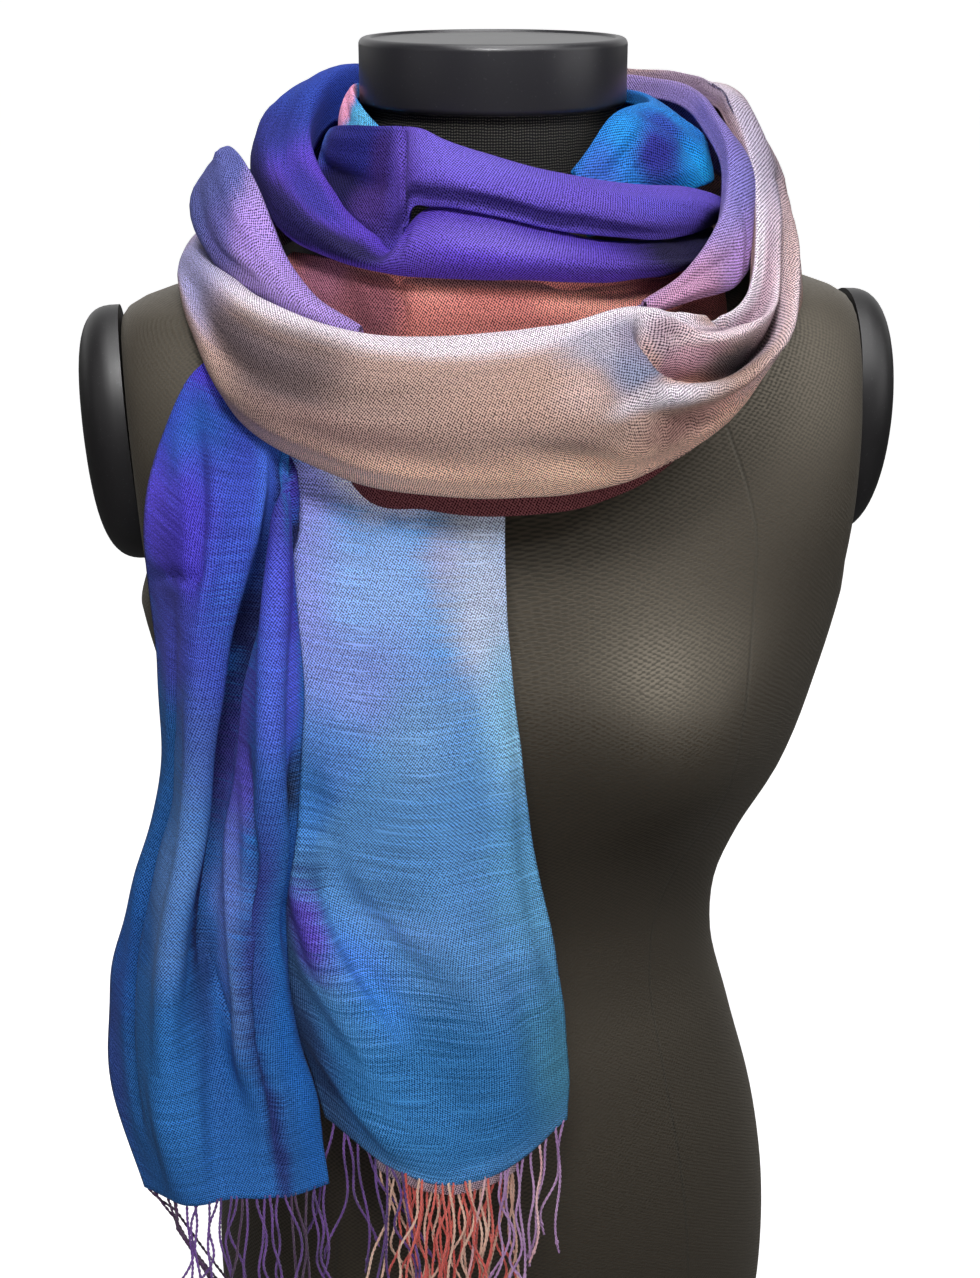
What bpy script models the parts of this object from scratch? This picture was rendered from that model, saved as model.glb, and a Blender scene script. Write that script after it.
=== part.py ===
"""A cashmere scarf wound round the neck of a limbless dress form, with both ends hanging in front.

The form stands on its flat hip end at the origin and faces -Y. Each stretch of the scarf that shows is one
thin wall of cloth, worked out from a short table of its sections. Azimuth is measured round the neck in
degrees: 0 is the front, 90 is +X, 180 the back.
"""

import math

import bmesh
import bpy
from mathutils import Vector

# Driving sizes, in metres.
FORM_HEIGHT = 0.720
CAP_HEIGHT = 0.030
CAP_RADIUS = 0.0615
CAP_EDGE = 0.003
CLOTH_WALL = 0.0016
FIT_GAP = 0.0003
CREST_TUCK = 0.005
FOOT_TUCK = 0.003
FORM_SIDES = 36
PLATE_SIDES = 20

# The dress form's level sections, from the hip end up to the top of the neck.
# height, half_width, front, back, squareness
FORM_SECTIONS = [
    (0.000, 0.150, 0.102, 0.108, 2.2),
    (0.060, 0.154, 0.106, 0.114, 2.2),
    (0.110, 0.152, 0.107, 0.113, 2.2),
    (0.160, 0.144, 0.104, 0.104, 2.2),
    (0.215, 0.129, 0.095, 0.088, 2.2),
    (0.265, 0.117, 0.084, 0.075, 2.2),
    (0.300, 0.119, 0.083, 0.075, 2.2),
    (0.330, 0.130, 0.090, 0.080, 2.2),
    (0.370, 0.150, 0.102, 0.086, 2.25),
    (0.420, 0.166, 0.108, 0.093, 2.3),
    (0.465, 0.176, 0.101, 0.097, 2.6),
    (0.510, 0.184, 0.091, 0.097, 2.9),
    (0.551, 0.187, 0.080, 0.094, 2.8),
    (0.580, 0.185, 0.0705, 0.088, 2.4),
    (0.592, 0.180, 0.0665, 0.084, 2.2),
    (0.602, 0.168, 0.0645, 0.080, 2.1),
    (0.611, 0.141, 0.062, 0.075, 2.0),
    (0.621, 0.110, 0.061, 0.071, 2.0),
    (0.632, 0.086, 0.059, 0.066, 2.0),
    (0.647, 0.067, 0.057, 0.061, 2.0),
    (0.668, 0.059, 0.056, 0.057, 2.0),
    (0.6897, 0.057, 0.055, 0.056, 2.0),
]
BUST_HEIGHT = 0.405
BUST_OFFSET = 0.085
BUST_RISE = 0.030
BUST_SPREAD = 0.052

# The flat armholes: the side wall stops at this distance from the middle, and leans out upwards.
ARMHOLE_HEIGHT = 0.537
ARMHOLE_OUT = 0.173
ARMHOLE_LEAN = 0.06
PLATE_HALF_HEIGHT = 0.062
PLATE_HALF_DEPTH = 0.046
PLATE_BACK = 0.010
PLATE_DOME = 0.023

# Sections of each wound stretch. A section runs from the crest over the belly to the foot,
# and each point has a radius from the neck's middle and a height.
# azimuth, crest_r, crest_z, belly_r, belly_z, foot_r, foot_z
OUTER_WRAP = [
    (-180, 0.095, 0.697, 0.114, 0.660, 0.104, 0.600),
    (-150, 0.100, 0.688, 0.120, 0.654, 0.112, 0.601),
    (-125, 0.115, 0.668, 0.132, 0.640, 0.124, 0.604),
    (-108, 0.128, 0.643, 0.143, 0.629, 0.137, 0.614),
    (-90, 0.137, 0.628, 0.1475, 0.621, 0.146, 0.6135),
    (-79, 0.136, 0.626, 0.150, 0.616, 0.1485, 0.6077),
    (-70, 0.135, 0.622, 0.153, 0.607, 0.1485, 0.5917),
    (-57, 0.134, 0.615, 0.156, 0.591, 0.148, 0.567),
    (-35, 0.130, 0.607, 0.157, 0.580, 0.140, 0.547),
    (-10, 0.128, 0.608, 0.157, 0.578, 0.138, 0.5425),
    (8, 0.128, 0.612, 0.156, 0.579, 0.138, 0.5435),
    (20, 0.129, 0.617, 0.156, 0.584, 0.141, 0.548),
    (38, 0.134, 0.609, 0.158, 0.592, 0.146, 0.566),
    (50, 0.136, 0.618, 0.1545, 0.606, 0.150, 0.590),
    (62, 0.1275, 0.655, 0.145, 0.634, 0.1485, 0.605),
    (69, 0.1205, 0.673, 0.140, 0.648, 0.147, 0.608),
    (78, 0.1105, 0.692, 0.133, 0.662, 0.1435, 0.614),
    (92, 0.1065, 0.698, 0.127, 0.672, 0.137, 0.6175),
    (106, 0.105, 0.700, 0.124, 0.671, 0.1315, 0.6155),
    (120, 0.103, 0.700, 0.121, 0.669, 0.126, 0.610),
    (150, 0.099, 0.700, 0.117, 0.666, 0.111, 0.601),
]
MIDDLE_WRAP = [
    (25, 0.1205, 0.618, 0.1235, 0.6155, 0.1225, 0.612),
    (38, 0.1190, 0.629, 0.1250, 0.624, 0.1240, 0.616),
    (52, 0.1165, 0.650, 0.1250, 0.640, 0.1255, 0.619),
    (65, 0.1085, 0.675, 0.1205, 0.662, 0.1235, 0.630),
    (78, 0.1000, 0.689, 0.1090, 0.680, 0.1180, 0.648),
    (95, 0.0950, 0.696, 0.1040, 0.687, 0.1140, 0.655),
    (120, 0.0910, 0.698, 0.1010, 0.686, 0.1060, 0.655),
    (150, 0.0915, 0.696, 0.1010, 0.683, 0.1035, 0.650),
    (180, 0.0930, 0.690, 0.1010, 0.676, 0.1030, 0.645),
    (215, 0.1020, 0.680, 0.1070, 0.668, 0.1070, 0.642),
    (240, 0.1090, 0.664, 0.1150, 0.654, 0.1150, 0.636),
    (256, 0.1150, 0.659, 0.1250, 0.648, 0.1220, 0.630),
    (266, 0.1220, 0.666, 0.1370, 0.650, 0.1270, 0.626),
    (276, 0.1240, 0.674, 0.1415, 0.648, 0.1290, 0.622),
    (285, 0.1210, 0.669, 0.1410, 0.640, 0.1290, 0.618),
    (293, 0.1195, 0.656, 0.1380, 0.634, 0.1285, 0.615),
    (301, 0.1190, 0.637, 0.1330, 0.628, 0.1270, 0.610),
    (311, 0.1190, 0.621, 0.1275, 0.615, 0.1245, 0.603),
    (325, 0.1195, 0.608, 0.1235, 0.603, 0.1225, 0.594),
]
RUST_WRAP = [
    (-66, 0.1045, 0.631, 0.1145, 0.623, 0.1175, 0.612),
    (-50, 0.1035, 0.630, 0.1140, 0.607, 0.1178, 0.579),
    (-38, 0.1030, 0.628, 0.1140, 0.597, 0.1213, 0.541),
    (-20, 0.1030, 0.627, 0.1150, 0.591, 0.1235, 0.534),
    (0, 0.1030, 0.626, 0.1150, 0.589, 0.1245, 0.5325),
    (20, 0.1030, 0.623, 0.1150, 0.591, 0.1240, 0.538),
    (40, 0.1030, 0.622, 0.1150, 0.598, 0.1225, 0.556),
    (60, 0.1035, 0.624, 0.1140, 0.614, 0.1162, 0.5935),
]
LOWER_ROLL = [
    (-215, 0.071, 0.690, 0.083, 0.675, 0.083, 0.652),
    (-180, 0.072, 0.700, 0.087, 0.682, 0.086, 0.650),
    (-150, 0.075, 0.704, 0.095, 0.690, 0.093, 0.655),
    (-110, 0.081, 0.700, 0.106, 0.688, 0.103, 0.655),
    (-85, 0.087, 0.681, 0.111, 0.672, 0.110, 0.655),
    (-70, 0.090, 0.668, 0.1152, 0.660, 0.112, 0.647),
    (-59, 0.092, 0.659, 0.1172, 0.651, 0.112, 0.639),
    (-49, 0.095, 0.650, 0.117, 0.644, 0.112, 0.635),
    (-39, 0.098, 0.643, 0.116, 0.638, 0.112, 0.631),
    (-32, 0.100, 0.638, 0.115, 0.635, 0.112, 0.6295),
    (-27, 0.0990, 0.651, 0.117, 0.640, 0.112, 0.629),
    (-21, 0.0990, 0.6570, 0.1185, 0.642, 0.112, 0.629),
    (-12, 0.0995, 0.6555, 0.119, 0.641, 0.112, 0.629),
    (-4, 0.0995, 0.6525, 0.119, 0.639, 0.112, 0.6285),
    (20, 0.0995, 0.642, 0.117, 0.634, 0.111, 0.6255),
    (36, 0.0995, 0.639, 0.115, 0.632, 0.110, 0.625),
    (55, 0.098, 0.637, 0.111, 0.632, 0.107, 0.625),
    (76, 0.096, 0.637, 0.104, 0.634, 0.101, 0.627),
]
UPPER_ROLL = [
    (-95, 0.0755, 0.672, 0.0800, 0.664, 0.0810, 0.652),
    (-75, 0.0790, 0.682, 0.0845, 0.666, 0.0865, 0.648),
    (-56, 0.0830, 0.686, 0.0870, 0.665, 0.0900, 0.642),
    (-40, 0.0855, 0.687, 0.0900, 0.662, 0.0940, 0.634),
    (-33, 0.0865, 0.6875, 0.0930, 0.665, 0.0954, 0.633),
    (-27, 0.0870, 0.6870, 0.1010, 0.672, 0.1010, 0.6560),
    (-22, 0.0870, 0.6840, 0.1050, 0.671, 0.1035, 0.6575),
    (-5, 0.0850, 0.676, 0.1065, 0.666, 0.1045, 0.6535),
    (10, 0.0860, 0.670, 0.1065, 0.660, 0.1045, 0.6475),
    (25, 0.0880, 0.665, 0.1070, 0.655, 0.1045, 0.6430),
    (37, 0.0920, 0.662, 0.1080, 0.652, 0.1045, 0.6400),
    (57, 0.0990, 0.658, 0.1095, 0.650, 0.1045, 0.6395),
    (76, 0.1090, 0.647, 0.1110, 0.644, 0.1060, 0.6400),
]
INNER_WRAP = [
    (25, 0.0660, 0.667, 0.0745, 0.656, 0.0790, 0.640),
    (46, 0.0660, 0.688, 0.0790, 0.675, 0.0840, 0.645),
    (62, 0.0700, 0.692, 0.0890, 0.679, 0.0930, 0.655),
    (77, 0.0740, 0.692, 0.0955, 0.677, 0.1030, 0.658),
    (92, 0.0720, 0.694, 0.0880, 0.682, 0.0950, 0.660),
    (115, 0.0670, 0.694, 0.0770, 0.684, 0.0790, 0.660),
    (150, 0.0634, 0.690, 0.0675, 0.678, 0.0675, 0.655),
    (180, 0.0624, 0.690, 0.0665, 0.676, 0.0665, 0.650),
    (230, 0.0645, 0.696, 0.0700, 0.682, 0.0690, 0.655),
    (255, 0.0655, 0.698, 0.0715, 0.684, 0.0705, 0.655),
    (280, 0.0650, 0.694, 0.0715, 0.680, 0.0715, 0.655),
    (305, 0.0645, 0.682, 0.0715, 0.672, 0.0720, 0.655),
]

# The folds pressed into a stretch: ridges stand out and troughs, with a minus sign, go in.
# from_place, to_place, across_start, across_middle, across_end, half_width, depth
OUTER_FOLDS = [
    (14, 62, 0.12, 0.58, 0.34, 0.14, -0.013),
    (26, 74, 0.20, 0.36, 0.26, 0.10, 0.004),
]

# Sections of each hanging end, from 0 at its tuck under the wrap to 1 at the hem. A section runs from
# the left edge over a lobe, into the crease, over the second lobe to the right edge.
# down, left_x, crease_x, right_x, left_y, lobe_y, crease_y, second_y, right_y, left_z, middle_z, right_z
LEFT_END = [
    (0.00, -0.129, -0.107, -0.099, -0.060, -0.070, -0.085, -0.090, -0.092, 0.588, 0.577, 0.566),
    (0.06, -0.131, -0.108, -0.101, -0.0595, -0.072, -0.085, -0.091, -0.093, 0.576, 0.562, 0.552),
    (0.12, -0.151, -0.110, -0.102, -0.068, -0.102, -0.100, -0.108, -0.107, 0.556, 0.543, 0.538),
    (0.23, -0.1665, -0.117, -0.101, -0.082, -0.134, -0.112, -0.131, -0.122, 0.514, 0.506, 0.504),
    (0.36, -0.164, -0.130, -0.0995, -0.094, -0.140, -0.120, -0.150, -0.132, 0.456, 0.452, 0.450),
    (0.50, -0.166, -0.1365, -0.104, -0.100, -0.144, -0.126, -0.154, -0.136, 0.402, 0.398, 0.396),
    (0.62, -0.180, -0.143, -0.111, -0.100, -0.148, -0.130, -0.155, -0.136, 0.354, 0.350, 0.348),
    (0.76, -0.195, -0.145, -0.109, -0.098, -0.150, -0.134, -0.152, -0.132, 0.296, 0.292, 0.290),
    (0.88, -0.197, -0.140, -0.100, -0.106, -0.148, -0.140, -0.146, -0.128, 0.244, 0.244, 0.243),
    (1.00, -0.184, -0.138, -0.0955, -0.120, -0.142, -0.143, -0.142, -0.128, 0.197, 0.203, 0.197),
]
RIGHT_END = [
    (0.00, -0.094, -0.050, -0.006, -0.074, -0.085, -0.094, -0.099, -0.101, 0.566, 0.573, 0.572),
    (0.10, -0.108, -0.058, -0.0085, -0.0800, -0.088, -0.100, -0.108, -0.1115, 0.540, 0.538, 0.537),
    (0.22, -0.1125, -0.062, -0.0095, -0.106, -0.122, -0.129, -0.131, -0.128, 0.490, 0.486, 0.486),
    (0.36, -0.1115, -0.065, -0.005, -0.118, -0.138, -0.145, -0.146, -0.136, 0.433, 0.428, 0.430),
    (0.50, -0.115, -0.085, 0.002, -0.120, -0.134, -0.138, -0.153, -0.138, 0.378, 0.374, 0.374),
    (0.62, -0.120, -0.078, 0.011, -0.118, -0.141, -0.137, -0.154, -0.136, 0.334, 0.328, 0.330),
    (0.76, -0.113, -0.055, 0.018, -0.116, -0.148, -0.141, -0.152, -0.132, 0.290, 0.276, 0.284),
    (0.88, -0.103, -0.040, 0.021, -0.114, -0.148, -0.149, -0.148, -0.128, 0.254, 0.234, 0.248),
    (1.00, -0.096, -0.037, 0.0215, -0.114, -0.142, -0.149, -0.144, -0.126, 0.225, 0.2055, 0.222),
]
UNDER_END_SPAN = (0.20, 0.78)
UNDER_END_BACK = 0.007
UNDER_END_EXTRA = 0.010
UNDER_END_START = 0.15

# Fringe: number of strands, their length and width, and how far they lean from side to side.
FRINGE_STRIP = 0.0025
STRAND_WIDTH = 0.0013
STRAND_STEPS = 3
# strands, length, sway
LEFT_FRINGE = (22, 0.072, 0.0012)
RIGHT_FRINGE = (24, 0.074, 0.0012)
UNDER_FRINGE = (14, 0.072, 0.0010)


def clear_scene():
    for obj in list(bpy.data.objects):
        bpy.data.objects.remove(obj)


def material(name, colour, roughness, metallic=0.0):
    made = bpy.data.materials.new(name)
    made.use_nodes = True
    shader = made.node_tree.nodes["Principled BSDF"]
    shader.inputs["Base Color"].default_value = (*colour, 1.0)
    shader.inputs["Roughness"].default_value = roughness
    shader.inputs["Metallic"].default_value = metallic
    return made


def new_object(name, mesh, finish, smooth_angle=60):
    obj = bpy.data.objects.new(name, mesh)
    parts.objects.link(obj)
    mesh.materials.append(finish)
    mesh.shade_smooth()
    mesh.set_sharp_from_angle(angle=math.radians(smooth_angle))
    return obj


def row_at(rows, place, turn=None):
    """The table's values at a place, on a smooth curve through the rows. turn closes it into a ring."""
    rows = list(rows)
    if turn:
        rows = [shifted(rows[-2], -turn), shifted(rows[-1], -turn), *rows]
        rows += [shifted(rows[2], turn), shifted(rows[3], turn)]
    keys = [row[0] for row in rows]
    place = min(max(place, keys[0]), keys[-1])
    i = max(k for k in range(len(keys) - 1) if keys[k] <= place)
    span = keys[i + 1] - keys[i]
    t = (place - keys[i]) / span
    values = []
    for column in range(1, len(rows[0])):
        before, after = rows[i][column], rows[i + 1][column]
        slope_in = slope(rows, i, column) * span
        slope_out = slope(rows, i + 1, column) * span
        values.append(
            before * (2 * t**3 - 3 * t**2 + 1)
            + slope_in * (t**3 - 2 * t**2 + t)
            + after * (3 * t**2 - 2 * t**3)
            + slope_out * (t**3 - t**2)
        )
    return values


def shifted(row, turn):
    return (row[0] + turn, *row[1:])


def slope(rows, i, column):
    """The curve's slope at a row: the mean of the slopes beside it, each weighted by the other's span."""
    if 0 < i < len(rows) - 1:
        left = rows[i][0] - rows[i - 1][0]
        right = rows[i + 1][0] - rows[i][0]
        rise_left = (rows[i][column] - rows[i - 1][column]) / left
        rise_right = (rows[i + 1][column] - rows[i][column]) / right
        return (rise_left * right + rise_right * left) / (left + right)
    a, b = (rows[0], rows[1]) if i == 0 else (rows[-2], rows[-1])
    return (b[column] - a[column]) / (b[0] - a[0])


def through(points, t):
    """A point on the smooth curve through a section's points, t from 0 to 1."""
    rows = [(k / (len(points) - 1), *point) for k, point in enumerate(points)]
    return row_at(rows, t)


def bump(distance, half_width):
    """A soft hump, 1 at its middle and 0 from half_width on."""
    x = abs(distance) / half_width
    return 0.5 + 0.5 * math.cos(math.pi * x) if x < 1 else 0.0


def fold_depth(folds, place, across):
    """How far all the folds move the cloth out at a place along the stretch and across it."""
    total = 0.0
    for start, end, v_start, v_middle, v_end, half_width, depth in folds:
        if not start < place < end:
            continue
        s = (place - start) / (end - start)
        centre = (1 - s) * (1 - 2 * s) * v_start + 4 * s * (1 - s) * v_middle + s * (2 * s - 1) * v_end
        total += depth * math.sin(math.pi * s) ** 0.7 * bump(across - centre, half_width)
    return total


def round_the_neck(radius, azimuth, height):
    angle = math.radians(azimuth)
    return Vector((radius * math.sin(angle), -radius * math.cos(angle), height))


def wrap_shape(rows, folds=(), turn=None, crest_tuck=CREST_TUCK):
    """The outer face of a wound stretch, as a function of across (crest to foot) and along, both 0 to 1."""
    first, last = rows[0][0], rows[0][0] + turn if turn else rows[-1][0]

    def shape(across, along):
        azimuth = first + (last - first) * along
        crest_r, crest_z, belly_r, belly_z, foot_r, foot_z = row_at(rows, azimuth, turn)
        points = [
            (crest_r - 0.45 * crest_tuck, crest_z - crest_tuck),
            (crest_r, crest_z),
            (belly_r, belly_z),
            (foot_r, foot_z),
            (foot_r - FOOT_TUCK, foot_z + 0.5 * FOOT_TUCK),
        ]
        step = 0.01
        low, high = max(across - step, 0), min(across + step, 1)
        r, z = through(points, across)
        r_low, z_low = through(points, low)
        r_high, z_high = through(points, high)
        length = math.hypot(r_high - r_low, z_high - z_low)
        out = fold_depth(folds, azimuth, across)
        return round_the_neck(
            r - out * (z_high - z_low) / length, azimuth, z + out * (r_high - r_low) / length
        )

    return shape


def end_shape(rows, back=0.0, span=(0.0, 1.0), extra=0.0, start=0.0):
    """The outer face of a hanging end, as a function of down (tuck to hem) and across (left to right)."""

    def shape(down, across):
        v = span[0] + (span[1] - span[0]) * across
        values = row_at(rows, start + (1 - start) * down)
        left, crease, right, left_y, lobe_y, crease_y, second_y, right_y, *heights = values
        section = [
            (left, left_y),
            ((left + crease) / 2, lobe_y),
            (crease, crease_y),
            ((crease + right) / 2, second_y),
            (right, right_y),
        ]
        x, y = through(section, v)
        z = through([(height,) for height in heights], v)[0]
        return Vector((x, y + back, z - extra * down))

    return shape


def cloth(name, shape, steps_down, steps_along, finish, ring=False):
    """A wall of cloth on a shape: a grid moved onto the shape, then thickened inwards."""
    bm = bmesh.new()
    bmesh.ops.create_grid(bm, x_segments=steps_down, y_segments=steps_along, size=0.5)
    for vertex in bm.verts:
        vertex.co = shape(vertex.co.x + 0.5, vertex.co.y + 0.5)
    if ring:
        bmesh.ops.remove_doubles(bm, verts=bm.verts, dist=1e-5)
    mesh = bpy.data.meshes.new(name)
    bm.to_mesh(mesh)
    bm.free()
    obj = new_object(name, mesh, finish)
    thicken = obj.modifiers.new("Thickness", "SOLIDIFY")
    thicken.thickness = CLOTH_WALL
    thicken.offset = -1
    return obj


def loft(name, rings, finish, smooth_angle=60):
    """A closed body through rings of points, lowest first, with flat ends."""
    bm = bmesh.new()
    levels = [[bm.verts.new(point) for point in ring] for ring in rings]
    count = len(levels[0])
    for low, high in zip(levels, levels[1:]):
        for k in range(count):
            j = (k + 1) % count
            bm.faces.new((low[k], low[j], high[j], high[k]))
    bm.faces.new(reversed(levels[0]))
    bm.faces.new(levels[-1])
    mesh = bpy.data.meshes.new(name)
    bm.to_mesh(mesh)
    bm.free()
    return new_object(name, mesh, finish, smooth_angle)


def signed_power(value, power):
    return math.copysign(abs(value) ** power, value)


def armhole_plane(height):
    return ARMHOLE_OUT + ARMHOLE_LEAN * (height - ARMHOLE_HEIGHT)


def form_point(height, turn):
    """A point on the dress form's cloth at a height, turn in radians from the right side."""
    half_width, front, back, squareness = row_at(FORM_SECTIONS, height)
    x = half_width * signed_power(math.cos(turn), 2 / squareness)
    depth = back if math.sin(turn) > 0 else front
    y = depth * signed_power(math.sin(turn), 2 / squareness)
    for side in (-1, 1):
        away = math.hypot(x - side * BUST_OFFSET, height - BUST_HEIGHT)
        if y < 0:
            y -= BUST_RISE * math.exp(-((away / BUST_SPREAD) ** 2)) * min(1, -y / front)
    if height > 0.46:
        limit = armhole_plane(height)
        x = max(-limit, min(limit, x))
    return Vector((x, y, height))


def make_torso():
    heights = [0.0, 0.035, 0.07, 0.11, 0.15, 0.19, 0.225, 0.26, 0.295, 0.325, 0.35, 0.375, 0.40]
    heights += [0.425, 0.45, 0.4655, 0.495, 0.525, 0.555, 0.58, 0.592, 0.602, 0.611, 0.621, 0.632]
    heights += [0.647, 0.668, FORM_HEIGHT - CAP_HEIGHT - FIT_GAP]
    turns = [2 * math.pi * k / FORM_SIDES for k in range(FORM_SIDES)]
    rings = [[form_point(height, turn) for turn in turns] for height in heights]
    loft("form_torso", rings, black_jersey)


def make_neck_cap():
    bm = bmesh.new()
    bmesh.ops.create_cone(
        bm, cap_ends=True, segments=36, radius1=CAP_RADIUS, radius2=CAP_RADIUS, depth=CAP_HEIGHT
    )
    bmesh.ops.translate(bm, verts=bm.verts, vec=(0, 0, FORM_HEIGHT - CAP_HEIGHT / 2))
    mesh = bpy.data.meshes.new("form_neck_cap")
    bm.to_mesh(mesh)
    bm.free()
    cap = new_object("form_neck_cap", mesh, black_plastic, 40)
    edge = cap.modifiers.new("Edge", "BEVEL")
    edge.width = CAP_EDGE
    edge.segments = 2
    edge.limit_method = "ANGLE"


def make_arm_plate(name, side):
    """A domed oval that closes an armhole, standing on the armhole's leaning plane."""
    turns = [2 * math.pi * k / PLATE_SIDES for k in range(PLATE_SIDES)]
    rings = []
    # share of the oval's size, share of the dome's height
    for share, rise in ((1.0, 0.0), (1.0, 0.30), (0.93, 0.62), (0.74, 0.86), (0.40, 0.98)):
        ring = []
        for turn in turns:
            height = ARMHOLE_HEIGHT + share * PLATE_HALF_HEIGHT * math.sin(turn)
            out = armhole_plane(height) + FIT_GAP + rise * PLATE_DOME
            depth = share * PLATE_HALF_DEPTH * math.cos(turn)
            ring.append(Vector((side * out, PLATE_BACK + side * depth, height)))
        rings.append(ring)
    loft(name, rings, black_plastic, 50)


def make_fringe(name, shape, strands, length, sway, finish):
    """A narrow strip just below a hem, with strands that grow out of it and hang apart from each other."""
    bm = bmesh.new()

    def corners(across):
        hem = shape(1.0, across)
        ahead = shape(1.0, min(across + 0.01, 1.0)) - shape(1.0, max(across - 0.01, 0.0))
        inwards = Vector((-ahead.y, ahead.x, 0)).normalized() * CLOTH_WALL
        top = Vector((0, 0, FIT_GAP))
        bottom = Vector((0, 0, FIT_GAP + FRINGE_STRIP))
        return [bm.verts.new(hem - top), bm.verts.new(hem + inwards - top),
                bm.verts.new(hem + inwards - bottom), bm.verts.new(hem - bottom)]

    width = (shape(1.0, 1.0) - shape(1.0, 0.0)).length
    half = STRAND_WIDTH / 2 / width
    places = []
    for k in range(strands):
        centre = 0.012 + (k + 0.5) / strands * 0.976
        places += [centre - half, centre + half]
    sections = [corners(place) for place in (0.0, *places, 1.0)]
    for k, (a, b) in enumerate(zip(sections, sections[1:])):
        bm.faces.new((a[0], a[1], b[1], b[0]))
        bm.faces.new((a[1], a[2], b[2], b[1]))
        bm.faces.new((a[3], a[0], b[0], b[3]))
        if k % 2 == 0:
            bm.faces.new((a[2], a[3], b[3], b[2]))
        else:
            hang_strand(bm, [a[3], b[3], b[2], a[2]], k // 2, length, sway)
    bm.faces.new((sections[0][0], sections[0][3], sections[0][2], sections[0][1]))
    bm.faces.new(sections[-1])
    bmesh.ops.recalc_face_normals(bm, faces=bm.faces)
    mesh = bpy.data.meshes.new(name)
    bm.to_mesh(mesh)
    bm.free()
    new_object(name, mesh, finish)


def hang_strand(bm, root, number, length, sway):
    """A four-sided strand that hangs from four corners, swaying a little and ending in a knot."""
    centre = sum((vertex.co for vertex in root), Vector()) / 4
    ring = root
    for step in range(1, STRAND_STEPS + 1):
        share = step / STRAND_STEPS
        lean = sway * math.sin(2.4 * number + 3.2 * share) * math.sin(math.pi * min(1, 1.2 * share))
        middle = centre + Vector((lean, 0.6 * lean, -share * length * (0.96 + 0.04 * math.sin(number))))
        size = 1.0 if step < STRAND_STEPS else 0.7
        below = [bm.verts.new(middle + (vertex.co - centre) * size) for vertex in root]
        for k in range(4):
            j = (k + 1) % 4
            bm.faces.new((ring[k], ring[j], below[j], below[k]))
        ring = below
    bm.faces.new(ring)


clear_scene()
parts = bpy.data.collections.new("cashmere_scarf_on_form")
bpy.context.scene.collection.children.link(parts)

black_jersey = material("black_jersey", (0.050, 0.046, 0.038), 0.85)
black_plastic = material("black_plastic", (0.020, 0.020, 0.023), 0.35)
beige_cloth = material("beige_cloth", (0.50, 0.36, 0.30), 0.75)
lilac_cloth = material("lilac_cloth", (0.38, 0.25, 0.55), 0.75)
rust_cloth = material("rust_cloth", (0.36, 0.12, 0.10), 0.75)
violet_cloth = material("violet_cloth", (0.12, 0.06, 0.50), 0.75)
turquoise_cloth = material("turquoise_cloth", (0.02, 0.25, 0.60), 0.75)
blue_cloth = material("blue_cloth", (0.06, 0.10, 0.50), 0.75)
sky_cloth = material("sky_cloth", (0.10, 0.30, 0.55), 0.75)
purple_yarn = material("purple_yarn", (0.15, 0.06, 0.30), 0.8)
pink_yarn = material("pink_yarn", (0.55, 0.28, 0.30), 0.8)
red_yarn = material("red_yarn", (0.45, 0.08, 0.09), 0.8)

make_torso()
make_neck_cap()
make_arm_plate("form_arm_plate_left", -1)
make_arm_plate("form_arm_plate_right", 1)

cloth("scarf_outer_wrap", wrap_shape(OUTER_WRAP, OUTER_FOLDS, turn=360), 9, 54, beige_cloth, ring=True)
cloth("scarf_middle_wrap", wrap_shape(MIDDLE_WRAP), 7, 44, lilac_cloth)
cloth("scarf_rust_wrap", wrap_shape(RUST_WRAP, crest_tuck=0.003), 7, 20, rust_cloth)
cloth("scarf_lower_roll", wrap_shape(LOWER_ROLL), 7, 44, blue_cloth)
cloth("scarf_upper_roll", wrap_shape(UPPER_ROLL), 7, 30, violet_cloth)
cloth("scarf_inner_wrap", wrap_shape(INNER_WRAP), 6, 30, turquoise_cloth)

left_end = end_shape(LEFT_END)
right_end = end_shape(RIGHT_END)
under_end = end_shape(RIGHT_END, UNDER_END_BACK, UNDER_END_SPAN, UNDER_END_EXTRA, UNDER_END_START)
cloth("scarf_left_end", left_end, 18, 18, blue_cloth)
cloth("scarf_right_end", right_end, 16, 14, sky_cloth)
cloth("scarf_under_end", under_end, 12, 10, beige_cloth)
make_fringe("fringe_left", left_end, *LEFT_FRINGE, purple_yarn)
make_fringe("fringe_right", right_end, *RIGHT_FRINGE, pink_yarn)
make_fringe("fringe_under", under_end, *UNDER_FRINGE, red_yarn)
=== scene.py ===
"""Looks for a hand-dyed cashmere scarf wound round the neck of a black limbless dress form."""

import math
import random

import bmesh
import bpy
import numpy as np
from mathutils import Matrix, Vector


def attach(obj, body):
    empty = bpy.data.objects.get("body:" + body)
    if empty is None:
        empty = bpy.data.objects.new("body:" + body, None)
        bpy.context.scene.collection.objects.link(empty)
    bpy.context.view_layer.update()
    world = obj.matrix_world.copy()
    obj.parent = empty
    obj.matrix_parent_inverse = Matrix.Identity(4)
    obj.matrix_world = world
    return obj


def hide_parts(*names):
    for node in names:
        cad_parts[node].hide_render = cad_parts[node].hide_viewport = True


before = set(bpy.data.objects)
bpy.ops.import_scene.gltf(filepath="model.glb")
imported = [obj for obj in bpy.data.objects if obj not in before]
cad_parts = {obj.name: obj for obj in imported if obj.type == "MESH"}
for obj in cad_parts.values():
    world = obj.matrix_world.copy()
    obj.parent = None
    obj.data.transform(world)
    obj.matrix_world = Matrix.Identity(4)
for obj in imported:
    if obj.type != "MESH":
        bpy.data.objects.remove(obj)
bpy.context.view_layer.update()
scene = bpy.context.scene
scene.view_settings.view_transform = "Standard"

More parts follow.
